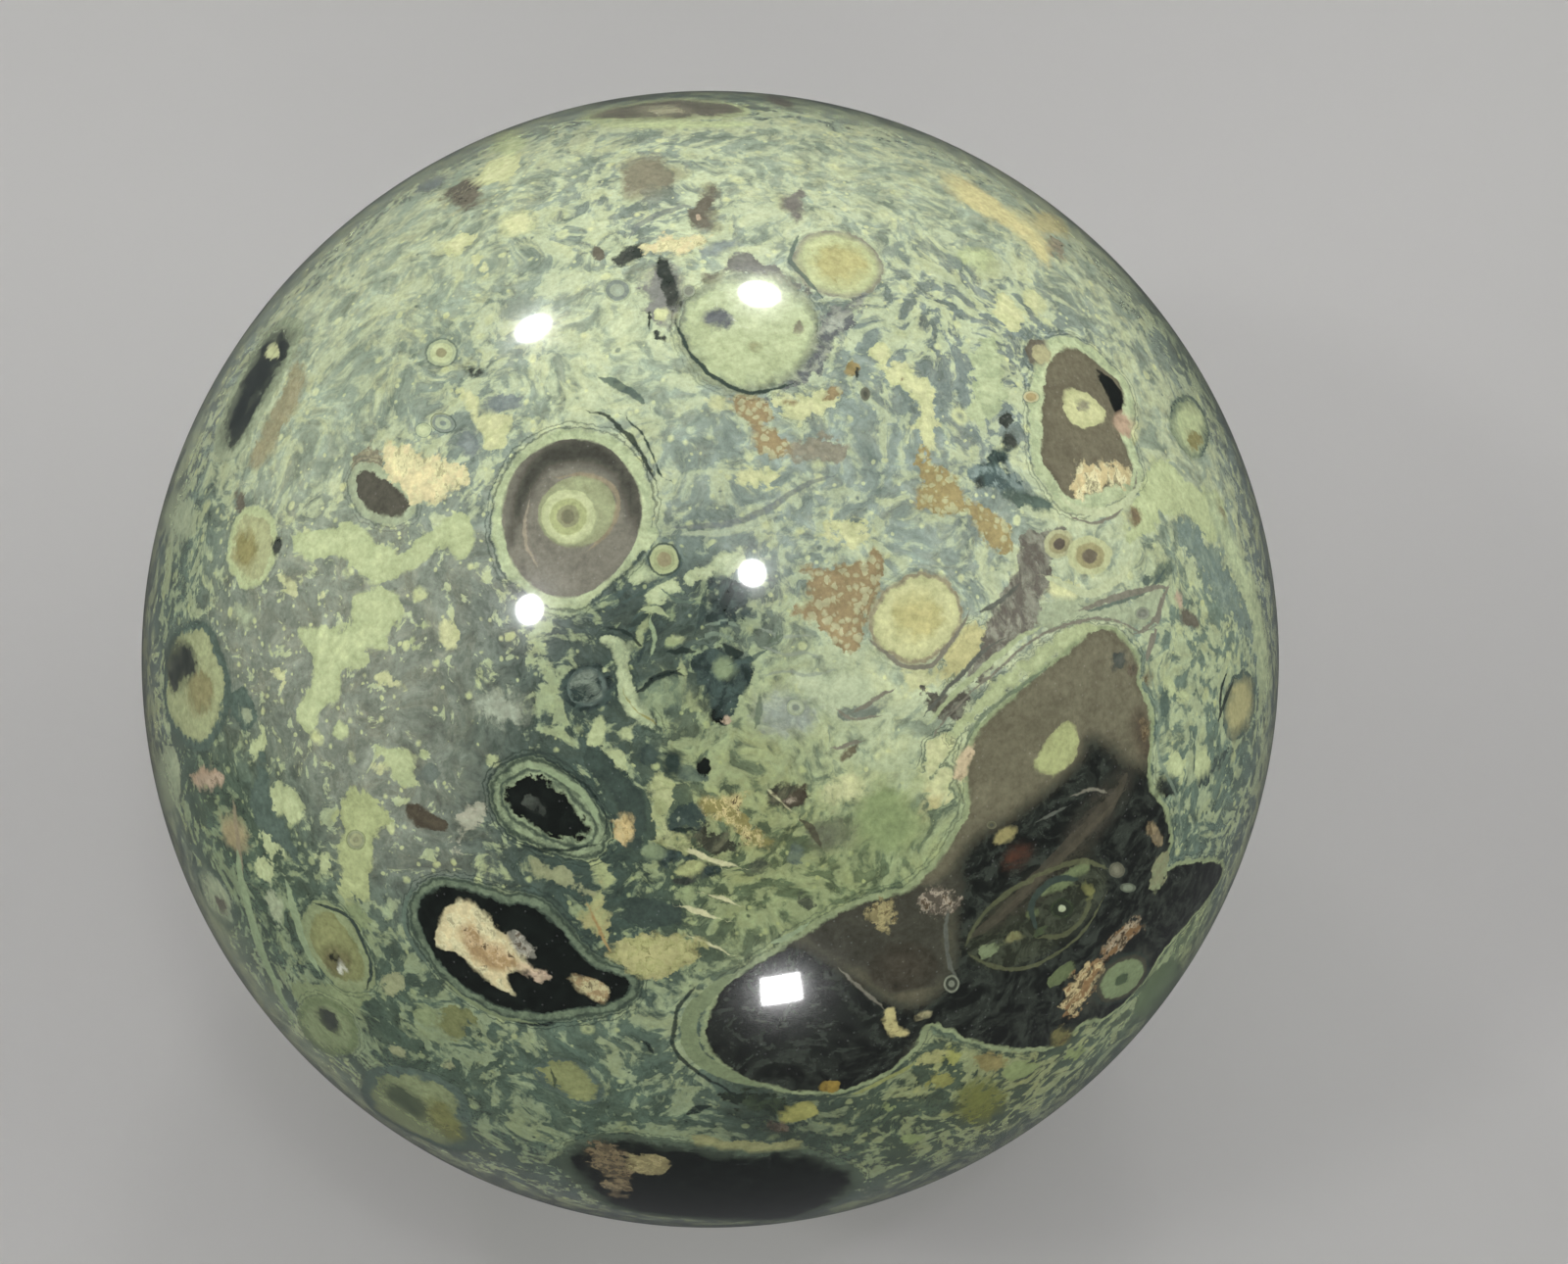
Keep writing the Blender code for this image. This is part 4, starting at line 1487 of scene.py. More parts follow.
    # The yolks and pupils
    yolks: tuple[Mark, ...] = (
        Mark(BLACK, (Trace((1119, 376, 1142, 396, 1147, 416, 1142, 424, 1133, 412)),), CLEAN),
        Mark(BROWN, (Oval(922, 388, 5, 3, 20),), CLEAN),
        Mark(KHAKI, (Oval(1219, 447, 9, 8), Oval(250, 560, 11, 19)), SOFT),
        Mark(SOOT, (Oval(484, 377, 11, 7, 20), Oval(335, 1040, 16, 8, 50)), SOFT),
        Mark(SOOT, (Oval(876, 380, 3, 8),), CLEAN),
        Mark(SOOT, (Oval(283, 558, 5, 10),)),
        Mark(SOOT, (Trace((174, 660, 188, 657, 200, 668, 200, 688, 188, 694, 178, 706, 170, 690)),), HAZE),
        Mark(UMBER, (Oval(226, 922, 10, 4, 60),), SOFT),
        Mark(Skin("#34413C", "#94A18F", 0.7), (Oval(598, 701, 18, 17),), CLEAN),
        Mark(Skin("#453F34", "#5E5A48", 0.6), (Trace((785, 806, 798, 812, 812, 808, 820, 797, 824, 808,
            816, 820, 804, 822)),)),
        Mark(Skin("#48533F", "#59654D"), (Oval(415, 1124, 28, 9, 35),), SOFT),
        Mark(Skin("#5F6464", "#7C8280"), (Oval(734, 325, 16, 10, 10),), SOFT),
        Mark(Skin("#6C6A4A"), (Oval(344, 980, 13, 17, -30),), SOFT),
        Mark(Skin("#7C8050"), (Oval(454, 1144, 26, 12, 50),), SOFT),
        Mark(Skin("#8B8A73"), (Oval(814, 334, 10, 5, -70), Oval(1106, 414, 6, 6)), SOFT),
        Mark(Skin("#8D8A62"), (Oval(204, 706, 14, 20),), HAZE),
        Mark(Skin("#9B9F78", "", 0.6), (Oval(771, 353, 9, 6, 30),), SOFT),
        Mark(Skin("#B3B07A", "", 0.4, 0.3), (Oval(858, 270, 27, 20, 12),), SOFT),
        Mark(Skin("#B9A287"), (Oval(1146, 433, 8, 13, -10),), SOFT),
        Mark(Skin("#C2BE85", "", 0.3, 0.2), (Oval(936, 631, 24, 23),), SOFT),
        Mark(Skin("#C3CB9B"), (Oval(580, 527, 28, 28),), CUT),
    )
    # The crystals, and one painted glint
    crystals: tuple[Mark, ...] = (
        Mark(BLACK, (Oval(342, 977, 6, 7),), CLEAN),
        Mark(CREAM, (Trace((1095, 480, 1106, 472, 1122, 476, 1140, 472, 1154, 484, 1148, 498, 1130, 494,
            1102, 507)),), RAGGED),
        Mark(ISLAND, (Oval(618, 683, 6, 4, -25),), CLEAN),
        Mark(PINK, (Oval(714, 222, 4, 4), Oval(743, 734, 7, 5, -20)), CLEAN),
        Mark(PINK, (Oval(208, 798, 9, 8), Oval(223, 795, 6, 6), Oval(1203, 612, 11, 4, 80)), SOFT),
        Mark(PINK, (Oval(550, 996, 14, 6, 5),), RAGGED),
        Mark(Skin("#6A6454", "#4C483C", 0.6), (Oval(1156, 684, 5, 6),), SOFT),
        Mark(Skin("#6E6658", "#3C3830", 0.8), (Oval(791, 1150, 14, 7, 10),), RAGGED),
        Mark(Skin("#77744A", "#5F5D3C", 0.6), (Oval(1082, 1058, 10, 9),), SOFT),
        Mark(Skin("#877A5C", "#4E4636", 0.8), (Trace((598, 1171, 624, 1169, 640, 1190, 638, 1218, 624, 1216)),
            Oval(1168, 744, 5, 14, -8)), RAGGED),
        Mark(Skin("#8A8468", "#5C5848", 0.7), (Oval(1171, 692, 6, 9, 10),), SOFT),
        Mark(Skin("#9A8440", "#7B6A34"), (Oval(846, 1109, 11, 6, -5),), CLEAN),
        Mark(Skin("#9C8E6C", "#6A624E", 0.7), (Oval(1178, 852, 14, 6, 60), Oval(628, 1204, 12, 14, -30)),
            RAGGED),
        Mark(Skin("#A59A80", "#7A5F3E", 0.95), (Oval(1146, 956, 28, 8, -40),), RAGGED),
        Mark(Skin("#A59C88", "#4B463C", 0.9), (Oval(805, 815, 8, 3, -5), Oval(958, 922, 20, 13, 20)), RAGGED),
        Mark(Skin("#A59E6C", "#857E54"), (Oval(1025, 853, 14, 6, -30),), CLEAN),
        # The khaki crust beside the black lens
        Mark(Skin("#A6A872", "#C6BF8C"), (Trace((619, 975, 660, 952, 724, 964, 688, 992, 664, 999)),)),
        Mark(Skin("#A7A595", "#6C6C60", 0.8), (Oval(531, 966, 17, 9, 50),), RAGGED),
        Mark(Skin("#A89F72", "#7E7654", 0.7), (Trace((884, 934, 892, 920, 906, 917, 914, 932, 903, 942,
            904, 951, 894, 949)), Oval(660, 1188, 22, 11, 10))),
        Mark(Skin("#A9A47C"), (Oval(941, 1037, 11, 4, -20),)),
        Mark(Skin("#C3B07C", "#D6CC9C"), (Oval(636, 846, 14, 9, 85),)),
        Mark(Skin("#C4B688", "#7B5E3E", 0.9), (Oval(1102, 1011, 31, 12, -60),), RAGGED),
        Mark(Skin("#C7BF86"), (Trace((902, 1031, 912, 1030, 917, 1045, 928, 1055, 912, 1058, 903, 1046)),),
            CLEAN),
        Mark(Skin("#C9C295", "#8E6F4C", 0.7), (Trace((580, 998, 600, 996, 620, 1008, 618, 1020, 606, 1021)),),
            CLEAN),
        Mark(Skin("#CBBE88", "#84804F", 0.95), (Trace((718, 819, 760, 811, 752, 828, 790, 858, 768, 860)),),
            RAGGED),
        Mark(Skin("#D6D3A2", "#D2BE94"), (Trace((658, 250, 668, 246, 679, 234, 689, 245, 727, 240, 702, 259,
            684, 257, 659, 259)), Trace((392, 455, 420, 457, 474, 478, 477, 497, 462, 501, 446, 514, 424, 514,
            412, 497, 396, 484)))),
        Mark(Skin("#D9C8A2"), (Trace((992, 757, 996, 766, 988, 782, 984, 800, 975, 792, 980, 772)),
            Oval(534, 985, 9, 7, 10)), CLEAN),
        # Painted glint: the near-white spark of a lamp mirrored in a small pit, laid as a pale spot in the
        # colour
        Mark(Skin("#DADCC8"), (Oval(349, 989, 6, 6),), CLEAN),
        # The cream crust in the crystal lens
        Mark(Skin("#DDD8AC", "#C3AC7E"), (Trace((456, 926, 472, 919, 494, 929, 510, 950, 540, 984, 526, 990,
            518, 998, 524, 1016, 490, 994, 466, 972, 446, 967, 446, 944)),), CLEAN),
    )
    # Soft changes of colour inside bodies, and the rust in the cream crust
    tints: tuple[Tint, ...] = (
        Tint(Layer.BODY, Trace((1108, 752, 1098, 778, 1036, 830, 1000, 850, 978, 876, 972, 905, 968, 990,
            940, 1022, 905, 1016, 820, 962, 770, 970, 712, 1010, 696, 1070, 730, 1125, 810, 1140, 900, 1120,
            950, 1060, 1040, 1095, 1125, 1070, 1200, 1000, 1270, 910, 1260, 860, 1210, 860, 1205, 830,
            1190, 790, 1152, 776, 1132, 758)), Skin("#191C19", "#3A4038", 0.85), 1.5),
        Tint(Layer.BODY, Trace((818, 948, 860, 926, 905, 908, 950, 900, 972, 890, 984, 905, 972, 930,
            966, 960, 966, 996, 936, 1010, 852, 980)), DARK_OLIVE, 0.8),
        Tint(Layer.BODY, Oval(1166, 750, 9, 26, -10), Skin("#5A5242", "#443E33"), 1),
        Tint(Layer.CRYSTAL, Trace((470, 948, 483, 944, 495, 960, 517, 970, 530, 985, 512, 991, 494, 985,
            478, 972)), Skin("#C8B28A", "#A08860", 0.9), 0.3),
        Tint(Layer.BODY, Trace((986, 966, 1002, 936, 1034, 908, 1104, 882, 1128, 888, 1126, 912, 1104, 944,
            1070, 972, 1030, 988, 1000, 984)), Skin("#2C3025", "#4A5040", 0.8), 0.7),
        Tint(Layer.BODY, Oval(1120, 830, 14, 52, 38), Skin("#46443A", "#26271F", 0.8), 1.4),
        Tint(Layer.BODY, Oval(1060, 905, 12, 70, 52), Skin("#3E3D32", "#26271F", 0.8), 1.4),
        Tint(Layer.BODY, Oval(1140, 1000, 46, 14, -40), Skin("#2C302A", "#4A4C40", 0.6), 1.2),
        Tint(Layer.BODY, Oval(921, 988, 36, 26, -8), Skin("#3B392F", "#4A473B", 0.7), 0.35),
        Tint(Layer.BODY, Oval(921, 988, 20, 13, -8), Skin("#4A463A", "#3B392F", 0.7), 0.5),
        Tint(Layer.BODY, Oval(1038, 875, 13, 9, -20), Skin("#573A2C", "#2E2823", 0.7), 0.9),
        Tint(Layer.BODY, Trace((520, 560, 526, 496, 560, 454, 610, 450, 650, 490, 654, 540, 638, 520,
            625, 488, 598, 474, 560, 480, 538, 515)), Skin("#47483F"), 0.9),
    )
    # Thin lines: flow lines, cracks and the edges of bands
    strokes: tuple[Stroke, ...] = (
        Stroke(((618, 614, 628, 610, 640, 601),), 0.38, "#4A5A54", 0.8),
        Stroke(((643, 641, 650, 634, 656, 626), (612, 386, 630, 391, 656, 412)), 0.5, "#4A5A54", 0.8),
        Stroke(((750, 676, 764, 674, 778, 664), (816, 240, 807, 266, 839, 303), (1103, 618, 1118, 622,
            1172, 602, 1190, 580)), 0.28, "#4A5A54", 0.8),
        Stroke(((692, 562, 696, 574, 688, 587, 673, 596, 620, 621),), 0.2, "#4A5A54", 0.8),
        Stroke(((683, 667, 694, 664, 707, 665), (1258, 697, 1250, 715, 1243, 736)), 0.38, "#26302C", 0.9),
        Stroke(((737, 622, 742, 610, 745, 600), (740, 660, 748, 668, 757, 668), (702, 1136, 714, 1131,
            724, 1129)), 0.5, "#26302C", 0.9),
        Stroke(((688, 846, 697, 848, 706, 846), (600, 421, 620, 425, 648, 454, 668, 490), (1251, 688,
            1246, 706, 1245, 728), (652, 706, 666, 694, 690, 686), (655, 702, 668, 691, 680, 687, 696, 688),
            (712, 1004, 697, 1022, 689, 1042, 694, 1080, 756, 1121), (526, 1042, 548, 1045, 566, 1043),
            (656, 1063, 662, 1068, 666, 1074)), 0.28, "#26302C", 0.9),
        Stroke(((620, 640, 640, 646, 655, 660), (530, 862, 560, 868, 612, 862)), 0.2, "#26302C", 0.9),
        Stroke(((560, 776, 590, 795, 611, 818, 620, 842, 612, 858),), 0.13, "#26302C", 0.9),
        Stroke(((711, 644, 716, 628, 720, 606), (742, 636, 754, 628, 765, 622)), 0.38, "#34423E", 0.7),
        Stroke(((650, 674, 654, 667, 656, 662),), 0.28, "#34423E", 0.7),
        Stroke(((770, 740, 774, 728, 776, 714),), 0.38, "#5C6A58", 0.7),
        Stroke(((784, 656, 790, 653, 796, 648), (984, 790, 986, 760, 1004, 730, 1070, 680)), 0.28, "#5C6A58",
            0.7),
        Stroke(((658, 624, 668, 622, 679, 627), (948, 738, 972, 710, 1034, 656, 1062, 640)), 0.38, "#A6B288",
            0.9),
        Stroke(((724, 638, 740, 634, 754, 640), (716, 652, 730, 646, 748, 652), (1170, 660, 1174, 690,
            1184, 730, 1182, 770, 1200, 810, 1206, 850)), 0.28, "#7C8C78", 0.7),
        Stroke(((702, 867, 716, 873, 731, 880), (699, 925, 716, 931, 732, 938), (700, 868, 736, 880,
            752, 884)), 0.28, "#C5C49A"),
        Stroke(((784, 806, 798, 818, 808, 828),), 0.13, "#C5C49A"),
        Stroke(((724, 914, 738, 918, 750, 922), (700, 927, 718, 933, 736, 939), (704, 956, 722, 963,
            742, 973)), 0.2, "#C5C49A"),
        Stroke(((818, 838, 828, 846, 836, 862),), 0.38, "#4A4638", 0.8),
        Stroke(((636, 706, 648, 724, 667, 737),), 0.13, "#8F8A50", 0.9),
        Stroke(((640, 428, 656, 446, 674, 484, 683, 492), (520, 775, 548, 768, 576, 778, 600, 800)), 0.13,
            "#3A463E"),
        Stroke(((690, 328, 706, 363, 740, 392, 764, 400, 790, 398, 806, 391), (322, 922, 346, 930, 363, 946,
            379, 988, 374, 1010)), 0.28, "#3A463E"),
        Stroke(((640, 640, 655, 632, 668, 622),), 0.38, "#3A463E"),
        Stroke(((1058, 948, 1052, 926, 1064, 906, 1084, 896, 1100, 898),), 0.5, "#3A463E"),
        Stroke(((690, 540, 757, 532, 822, 496, 848, 486),), 0.38, "#6B7270", 0.7),
        Stroke(((645, 241, 652, 229, 690, 212, 704, 210),), 0.5, "#6B7270", 0.7),
        Stroke(((694, 546, 728, 545, 762, 538, 796, 523),), 0.38, "#B0BB9A", 0.6),
        Stroke(((540, 512, 535, 534, 537, 556, 548, 578),), 0.2, "#A59C85", 0.7),
        Stroke(((570, 488, 598, 483, 622, 495, 631, 519, 621, 544, 603, 558),), 0.28, "#93896F", 0.8),
        Stroke(((238, 818, 243, 860, 248, 902),), 0.5, "#93896F", 0.8),
        Stroke(((834, 264, 842, 276, 852, 287),), 0.2, "#8F8A5C", 0.7),
        Stroke(((885, 652, 916, 676, 940, 681, 956, 673, 990, 627), (1160, 646, 1178, 632, 1192, 598),
            (870, 726, 886, 718, 908, 704), (854, 764, 866, 760, 878, 757)), 0.28, "#7B796A"),
        Stroke(((952, 752, 976, 722, 1040, 664, 1076, 642, 1108, 632, 1140, 634, 1164, 644, 1180, 638),
            (1160, 482, 1155, 504, 1140, 524, 1118, 534, 1092, 528), (858, 991, 879, 1009, 903, 1030),
            (1096, 812, 1112, 806, 1130, 808), (855, 724, 872, 733, 896, 732)), 0.2, "#7B796A"),
        Stroke(((1100, 623, 1168, 602, 1192, 600),), 0.38, "#7B796A"),
        Stroke(((1185, 611, 1182, 630, 1170, 672),), 0.5, "#7B796A"),
        Stroke(((1067, 588, 1106, 605, 1130, 600, 1148, 584, 1156, 566), (1080, 503, 1100, 519, 1128, 522,
            1150, 511, 1165, 494)), 0.5, "#B9C29A"),
        Stroke(((1000, 626, 1022, 612, 1040, 596), (944, 728, 996, 672, 1020, 652), (967, 924, 965, 952,
            968, 980, 975, 998)), 0.28, "#5E6258"),
        Stroke(((1060, 838, 1074, 830, 1088, 822),), 0.2, "#5E6258"),
        Stroke(((664, 668, 668, 650, 664, 632),), 0.28, "#8FA07C"),
        Stroke(((548, 782, 578, 796, 600, 816, 612, 842), (788, 962, 806, 955, 824, 944)), 0.38, "#8FA07C"),
        Stroke(((242, 868, 248, 905, 266, 968, 300, 1048),), 0.95, "#8FA07C"),
        Stroke(((292, 900, 310, 962, 326, 992),), 0.7, "#8FA07C"),
        Stroke(((676, 600, 690, 612, 706, 616),), 0.2, "#5E6E60"),
        Stroke(((420, 905, 412, 930, 418, 958, 436, 985),), 0.28, "#5E6E60"),
        Stroke(((770, 640, 800, 650, 826, 648), (776, 660, 800, 668, 822, 666, 838, 672), (780, 690, 800, 684,
            826, 690, 850, 684)), 0.2, "#8E9888", 0.7),
        Stroke(((600, 925, 616, 960, 626, 976),), 0.2, "#A08A5C"),
        Stroke(((752, 994, 726, 1012, 708, 1032, 703, 1056, 714, 1080, 740, 1096, 774, 1108),), 0.95,
            "#7A8765"),
        Stroke(((455, 1002, 480, 1023, 510, 1037, 548, 1044),), 0.28, "#7A8765"),
        Stroke(((874, 1116, 914, 1096, 932, 1086),), 0.38, "#8C925C"),
        Stroke(((1150, 790, 1128, 824, 1024, 930, 988, 958),), 0.95, "#5A5546", 0.4),
        Stroke(((1146, 806, 1122, 838, 1020, 934),), 0.5, "#5A5546", 0.4),
        Stroke(((984, 966, 1002, 934, 1034, 908, 1068, 890, 1104, 879, 1130, 887), (1060, 956, 1086, 954,
            1106, 936, 1114, 914)), 0.38, "#626649", 0.7),
        Stroke(((990, 974, 1012, 986, 1044, 988, 1078, 974, 1108, 948, 1128, 912),), 0.28, "#626649", 0.7),
        Stroke(((800, 1046, 834, 1034, 866, 1040, 890, 1058),), 0.5, "#2E332E", 0.5),
        Stroke(((562, 1092, 565, 1100, 566, 1108),), 0.2, "#4B5540"),
        Stroke(((738, 318, 744, 323, 751, 328),), 0.13, "#D8DCC4"),
    )
    # The small ringed eyes
    eyes: tuple[Eye, ...] = (
        Eye(Oval(580, 527, 19, 19), "#A9B07F", "#8F9271", "#77775E", 0.62, 0.4, 0.0),
        Eye(Oval(450, 360, 15, 13), "#9EA886", "#B4BC90", "#8C8B6A", 0.75, 0.35, 0.4),
        Eye(Oval(452, 432, 12, 9, 20), "#7E897C", "#A2AD90", "#79847A", 0.7, 0.3, 0.6),
        Eye(Oval(432, 439, 8, 7), "#A9B48F", "#BAC499", "#BAC499", 0.7, 0.3, 0.4),
        Eye(Oval(678, 571, 15, 15), "#A7B084", "#9AA278", "#8D8868", 0.75, 0.5, 0.8),
        Eye(Oval(1081, 555, 15, 15), "#AEB088", "#94916C", "#5C564A", 0.72, 0.42, 0.15),
        Eye(Oval(1112, 567, 23, 20), "#B6BB8E", "#98946C", "#6A6453", 0.66, 0.34, 0.15),
        Eye(Oval(1012, 842, 5, 4), "#6A6A54", "#5E6049", "#4E5046", 0.7, 0.4, 0.1),
        Eye(Oval(1166, 626, 7, 6), "#8B917E", "#7A7E70", "#85897A", 0.7, 0.3, 0.3),
        Eye(Oval(630, 296, 12, 11), "#7C867B", "#97A28C", "#97A28C", 0.6, 0.3, 0.3),
        Eye(Oval(703, 297, 6, 6), "#8B917E", "#7A7E70", "#7A7E70", 0.7, 0.3, 0.3),
        Eye(Oval(363, 857, 9, 9), "#8E9576", "#A0A57E", "#8E9272", 0.7, 0.35, 0.5),
        Eye(Oval(812, 722, 9, 8, 10), "#97A184", "#A5AE93", "#8A9484", 0.8, 0.4, 0.2),
        Eye(Oval(1052, 405, 8, 6), "#B9B48C", "#A5976C", "#A5976C", 0.7, 0.4, 0.3),
        Eye(Oval(883, 402, 5, 7), "#6A6C5C", "#5E6052", "#4E5046", 0.7, 0.4, 0.2),
        Eye(Oval(1146, 999, 30, 17, -40), "#48483A", "#7C8B66", "#4C5B42", 0.84, 0.3, 0.5),
        Eye(Oval(1084, 927, 11, 10, -20), "#363F2C", "#2B3226", "#A9B391", 0.8, 0.36, 0.1),
        Eye(Oval(971, 1004, 8, 9), "#7D8270", "#3B3F35", "#7A7F6E", 0.75, 0.4, 0.2),
        Eye(Oval(1140, 888, 8, 8), "#5F6050", "#6D6E5C", "#7A7A66", 0.7, 0.4, 0.2),
        Eye(Oval(1151, 906, 8, 5), "#5C6353", "#77806C", "#77806C", 0.7, 0.4, 0.2),
    )

    def lay(self, pattern: Pattern) -> None:
        """Lays every marking of this side.

        Args:
            pattern: the pattern to lay them in.
        """
        layers = (self.patches, self.stains, self.streams, self.bodies, self.orbs, self.yolks, self.crystals)
        for layer, markings in zip(Layer, layers):
            for marking in markings:
                pattern.mark(layer, marking)
        for tint in self.tints:
            pattern.tint(tint)
        for stroke in self.strokes:
            pattern.draw(stroke)
        for eye in self.eyes:
            pattern.set_eye(eye)

    def grounds(self, view: Viewpoint) -> list[tuple[Ground, np.ndarray, float]]:
        """Each zone's ground, direction and reach in mm, with its pixels cast onto the ball."""
        return [(zone.ground, middle, zone.reach) for zone in self.zones
                for middle in view.cast(np.reshape(zone.middles, (-1, 2)))]


# A small eye's rim, ring and pupil
EYE_TONES = (
    ("#9EA886", "#B4BC90", "#8C8B6A"),
    ("#B4B788", "#9A966C", "#655F50"),
    ("#7E897C", "#A2AD90", "#79847A"),
    ("#A7B084", "#9AA278", "#8D8868"),
    ("#6E7462", "#3B3F35", "#4E5348"),
)
# A flow line's tone and strength
LINE_TONES = (("#2C3832", 0.9), ("#46554C", 0.8), ("#74776A", 0.7), ("#B4BF96", 0.8), ("#8E9B7E", 0.9))
WIDE_RIM = Rim(1.1)
UMBER_RIM = Rim(0.35, UMBER)


@dataclass(frozen=True)
class Sort:
    """A sort of small marking that chance spreads over the hidden side."""

    count: int
    size: Point  # mm, half the length of the smallest and of the largest
    slender: Point  # width over length, least and most
    layer: Layer
    skin: Skin
    edge: Edge
    rim: Rim | None = None
    line: float = 0.0
    uneven: float = 0.2
    core: Skin | None = None  # what lies in its middle
    core_layer: Layer = Layer.PUPIL


@dataclass
class Room:
    """The room on the hidden side, the chance that spreads things over it and what has been laid."""

    pattern: Pattern
    chance: np.random.Generator
    front: np.ndarray  # the direction to the camera
    shown_reach: float  # how far round from there the shown half reaches
    taken: list[tuple[np.ndarray, float]] = field(default_factory=list)  # places, each with its reach in mm
    tries: int = 60
    clearance: float = 1.2  # mm between two things

    def hides(self, place: np.ndarray, margin: float = 0.0) -> bool:
        """Whether a place lies on the hidden side, by at least a margin in mm."""
        return place @ self.front <= math.cos(self.shown_reach + margin / self.pattern.radius_mm)

    def find(self, size: float, keep_clear: bool) -> np.ndarray | None:
        """Looks for a place by chance.

        Args:
            size: the reach of what is to lie there, in mm.
            keep_clear: whether it keeps off what has been laid.

        Returns:
            A unit vector, or nothing if every try failed.
        """
        for _ in range(self.tries):
            place = unit(self.chance.normal(size=3))
            if self.hides(place, size) and not (keep_clear and any(
                    math.acos(np.clip(place @ other, -1, 1)) * self.pattern.radius_mm
                    < size + reach + self.clearance for other, reach in self.taken)):
                return place
        return None


@dataclass(frozen=True)
class HiddenSide:
    """The half that the photograph does not show: large features set one by one, small ones by chance."""

    seed: int = 11
    shown_reach: float = math.radians(77.0)  # how far round from the camera the shown half reaches
    sorts: tuple[Sort, ...] = (
        Sort(5, (2.2, 4.2), (0.5, 0.8), Layer.BODY, BLACK, CLEAN, Rim(0.7), uneven=0.14, core=CREAM,
             core_layer=Layer.CRYSTAL),
        Sort(7, (1.3, 2.6), (0.5, 0.8), Layer.BODY, UMBER, CLEAN, Rim(0.5), uneven=0.14, core=ORB),
        Sort(5, (1.8, 3.2), (0.75, 0.95), Layer.CORE, ORB, CLEAN, UMBER_RIM, uneven=0.08, core=KHAKI),
        Sort(10, (0.9, 1.9), (0.6, 0.95), Layer.CORE, ORB_KHAKI, NATURAL, line=0.5, uneven=0.12, core=KHAKI),
        Sort(70, (0.7, 3.2), (0.3, 0.8), Layer.PATCH, ISLAND, RAGGED, uneven=0.4),
        Sort(25, (0.6, 1.8), (0.4, 0.9), Layer.PATCH, ISLAND_WARM, RAGGED, uneven=0.4),
        Sort(40, (2.0, 6.0), (0.08, 0.25), Layer.PATCH, STREAM, NATURAL, uneven=0.3),
        Sort(45, (0.8, 3.0), (0.3, 0.8), Layer.PATCH, TEAL, RAGGED, uneven=0.4),
        Sort(8, (1.0, 2.4), (0.4, 0.8), Layer.RUST, RUSTY, RAGGED, uneven=0.4),
        Sort(30, (0.3, 0.9), (0.4, 0.9), Layer.PUPIL, SOOT, NATURAL, uneven=0.3),
        Sort(14, (0.3, 0.9), (0.4, 0.9), Layer.CRYSTAL, TAN, RAGGED, uneven=0.3),
        Sort(8, (0.3, 0.7), (0.5, 0.9), Layer.CRYSTAL, PINK, RAGGED, uneven=0.3),
    )
    # The large features, with the degrees round the ball and up from its waist at which each lies
    large: tuple[tuple[Point, Layer, Mark], ...] = (
        ((196, 4), Layer.BODY, Mark(UMBER, (Oval(0, 0, 5.6, 4.6, 60, 0.05, 3),), CLEAN, WIDE_RIM)),
        ((197, 5), Layer.CORE, Mark(ORB, (Oval(0, 0, 3.0, 2.6, 60, 0.05, 4),), CLEAN, line=0.5)),
        ((197.5, 5.5), Layer.PUPIL, Mark(KHAKI, (Oval(0, 0, 1.0, 0.8, 60, 0.1, 5),), SOFT)),
        ((128, -14), Layer.BODY, Mark(OLIVE, (Oval(0, 0, 13.0, 6.4, 28, 0.12, 6),), CLEAN, WIDE_RIM)),
        ((117, -10), Layer.CORE, Mark(ORB, (Oval(0, 0, 1.9, 1.2, 70, 0.06, 7),), CLEAN)),
        ((140, -22), Layer.CRYSTAL, Mark(PINK, (Oval(0, 0, 1.4, 0.8, 10, 0.3, 8),), RAGGED)),
        ((131, -26), Layer.CRYSTAL, Mark(CREAM, (Oval(0, 0, 1.6, 0.6, 60, 0.3, 9),), RAGGED)),
        ((292, -6), Layer.BODY, Mark(BLACK, (Oval(0, 0, 8.6, 4.6, -35, 0.12, 10),), CLEAN, WIDE_RIM)),
        ((287, -1), Layer.CRYSTAL, Mark(CREAM, (Oval(0, 0, 3.0, 1.7, -50, 0.3, 11),), RAGGED)),
        ((236, -30), Layer.BODY, Mark(UMBER, (Oval(0, 0, 5.2, 3.6, 15, 0.1, 12),), CLEAN, WIDE_RIM)),
        ((237, -30), Layer.CORE, Mark(ORB_KHAKI, (Oval(0, 0, 2.2, 1.9, 15, 0.06, 13),), CLEAN, line=0.5)),
        ((163, 14), Layer.CORE, Mark(ORB, (Oval(0, 0, 3.6, 3.1, 0, 0.06, 14),), CLEAN, UMBER_RIM)),
        ((164, 15), Layer.PUPIL, Mark(UMBER, (Oval(0, 0, 0.9, 0.6, 20, 0.2, 15),))),
        ((24, -42), Layer.BODY, Mark(BLACK, (Oval(0, 0, 7.2, 4.0, -20, 0.12, 16),), CLEAN, WIDE_RIM)),
        ((18, -42), Layer.CRYSTAL, Mark(TAN, (Oval(0, 0, 2.0, 1.2, 30, 0.3, 17),), RAGGED)),
    )
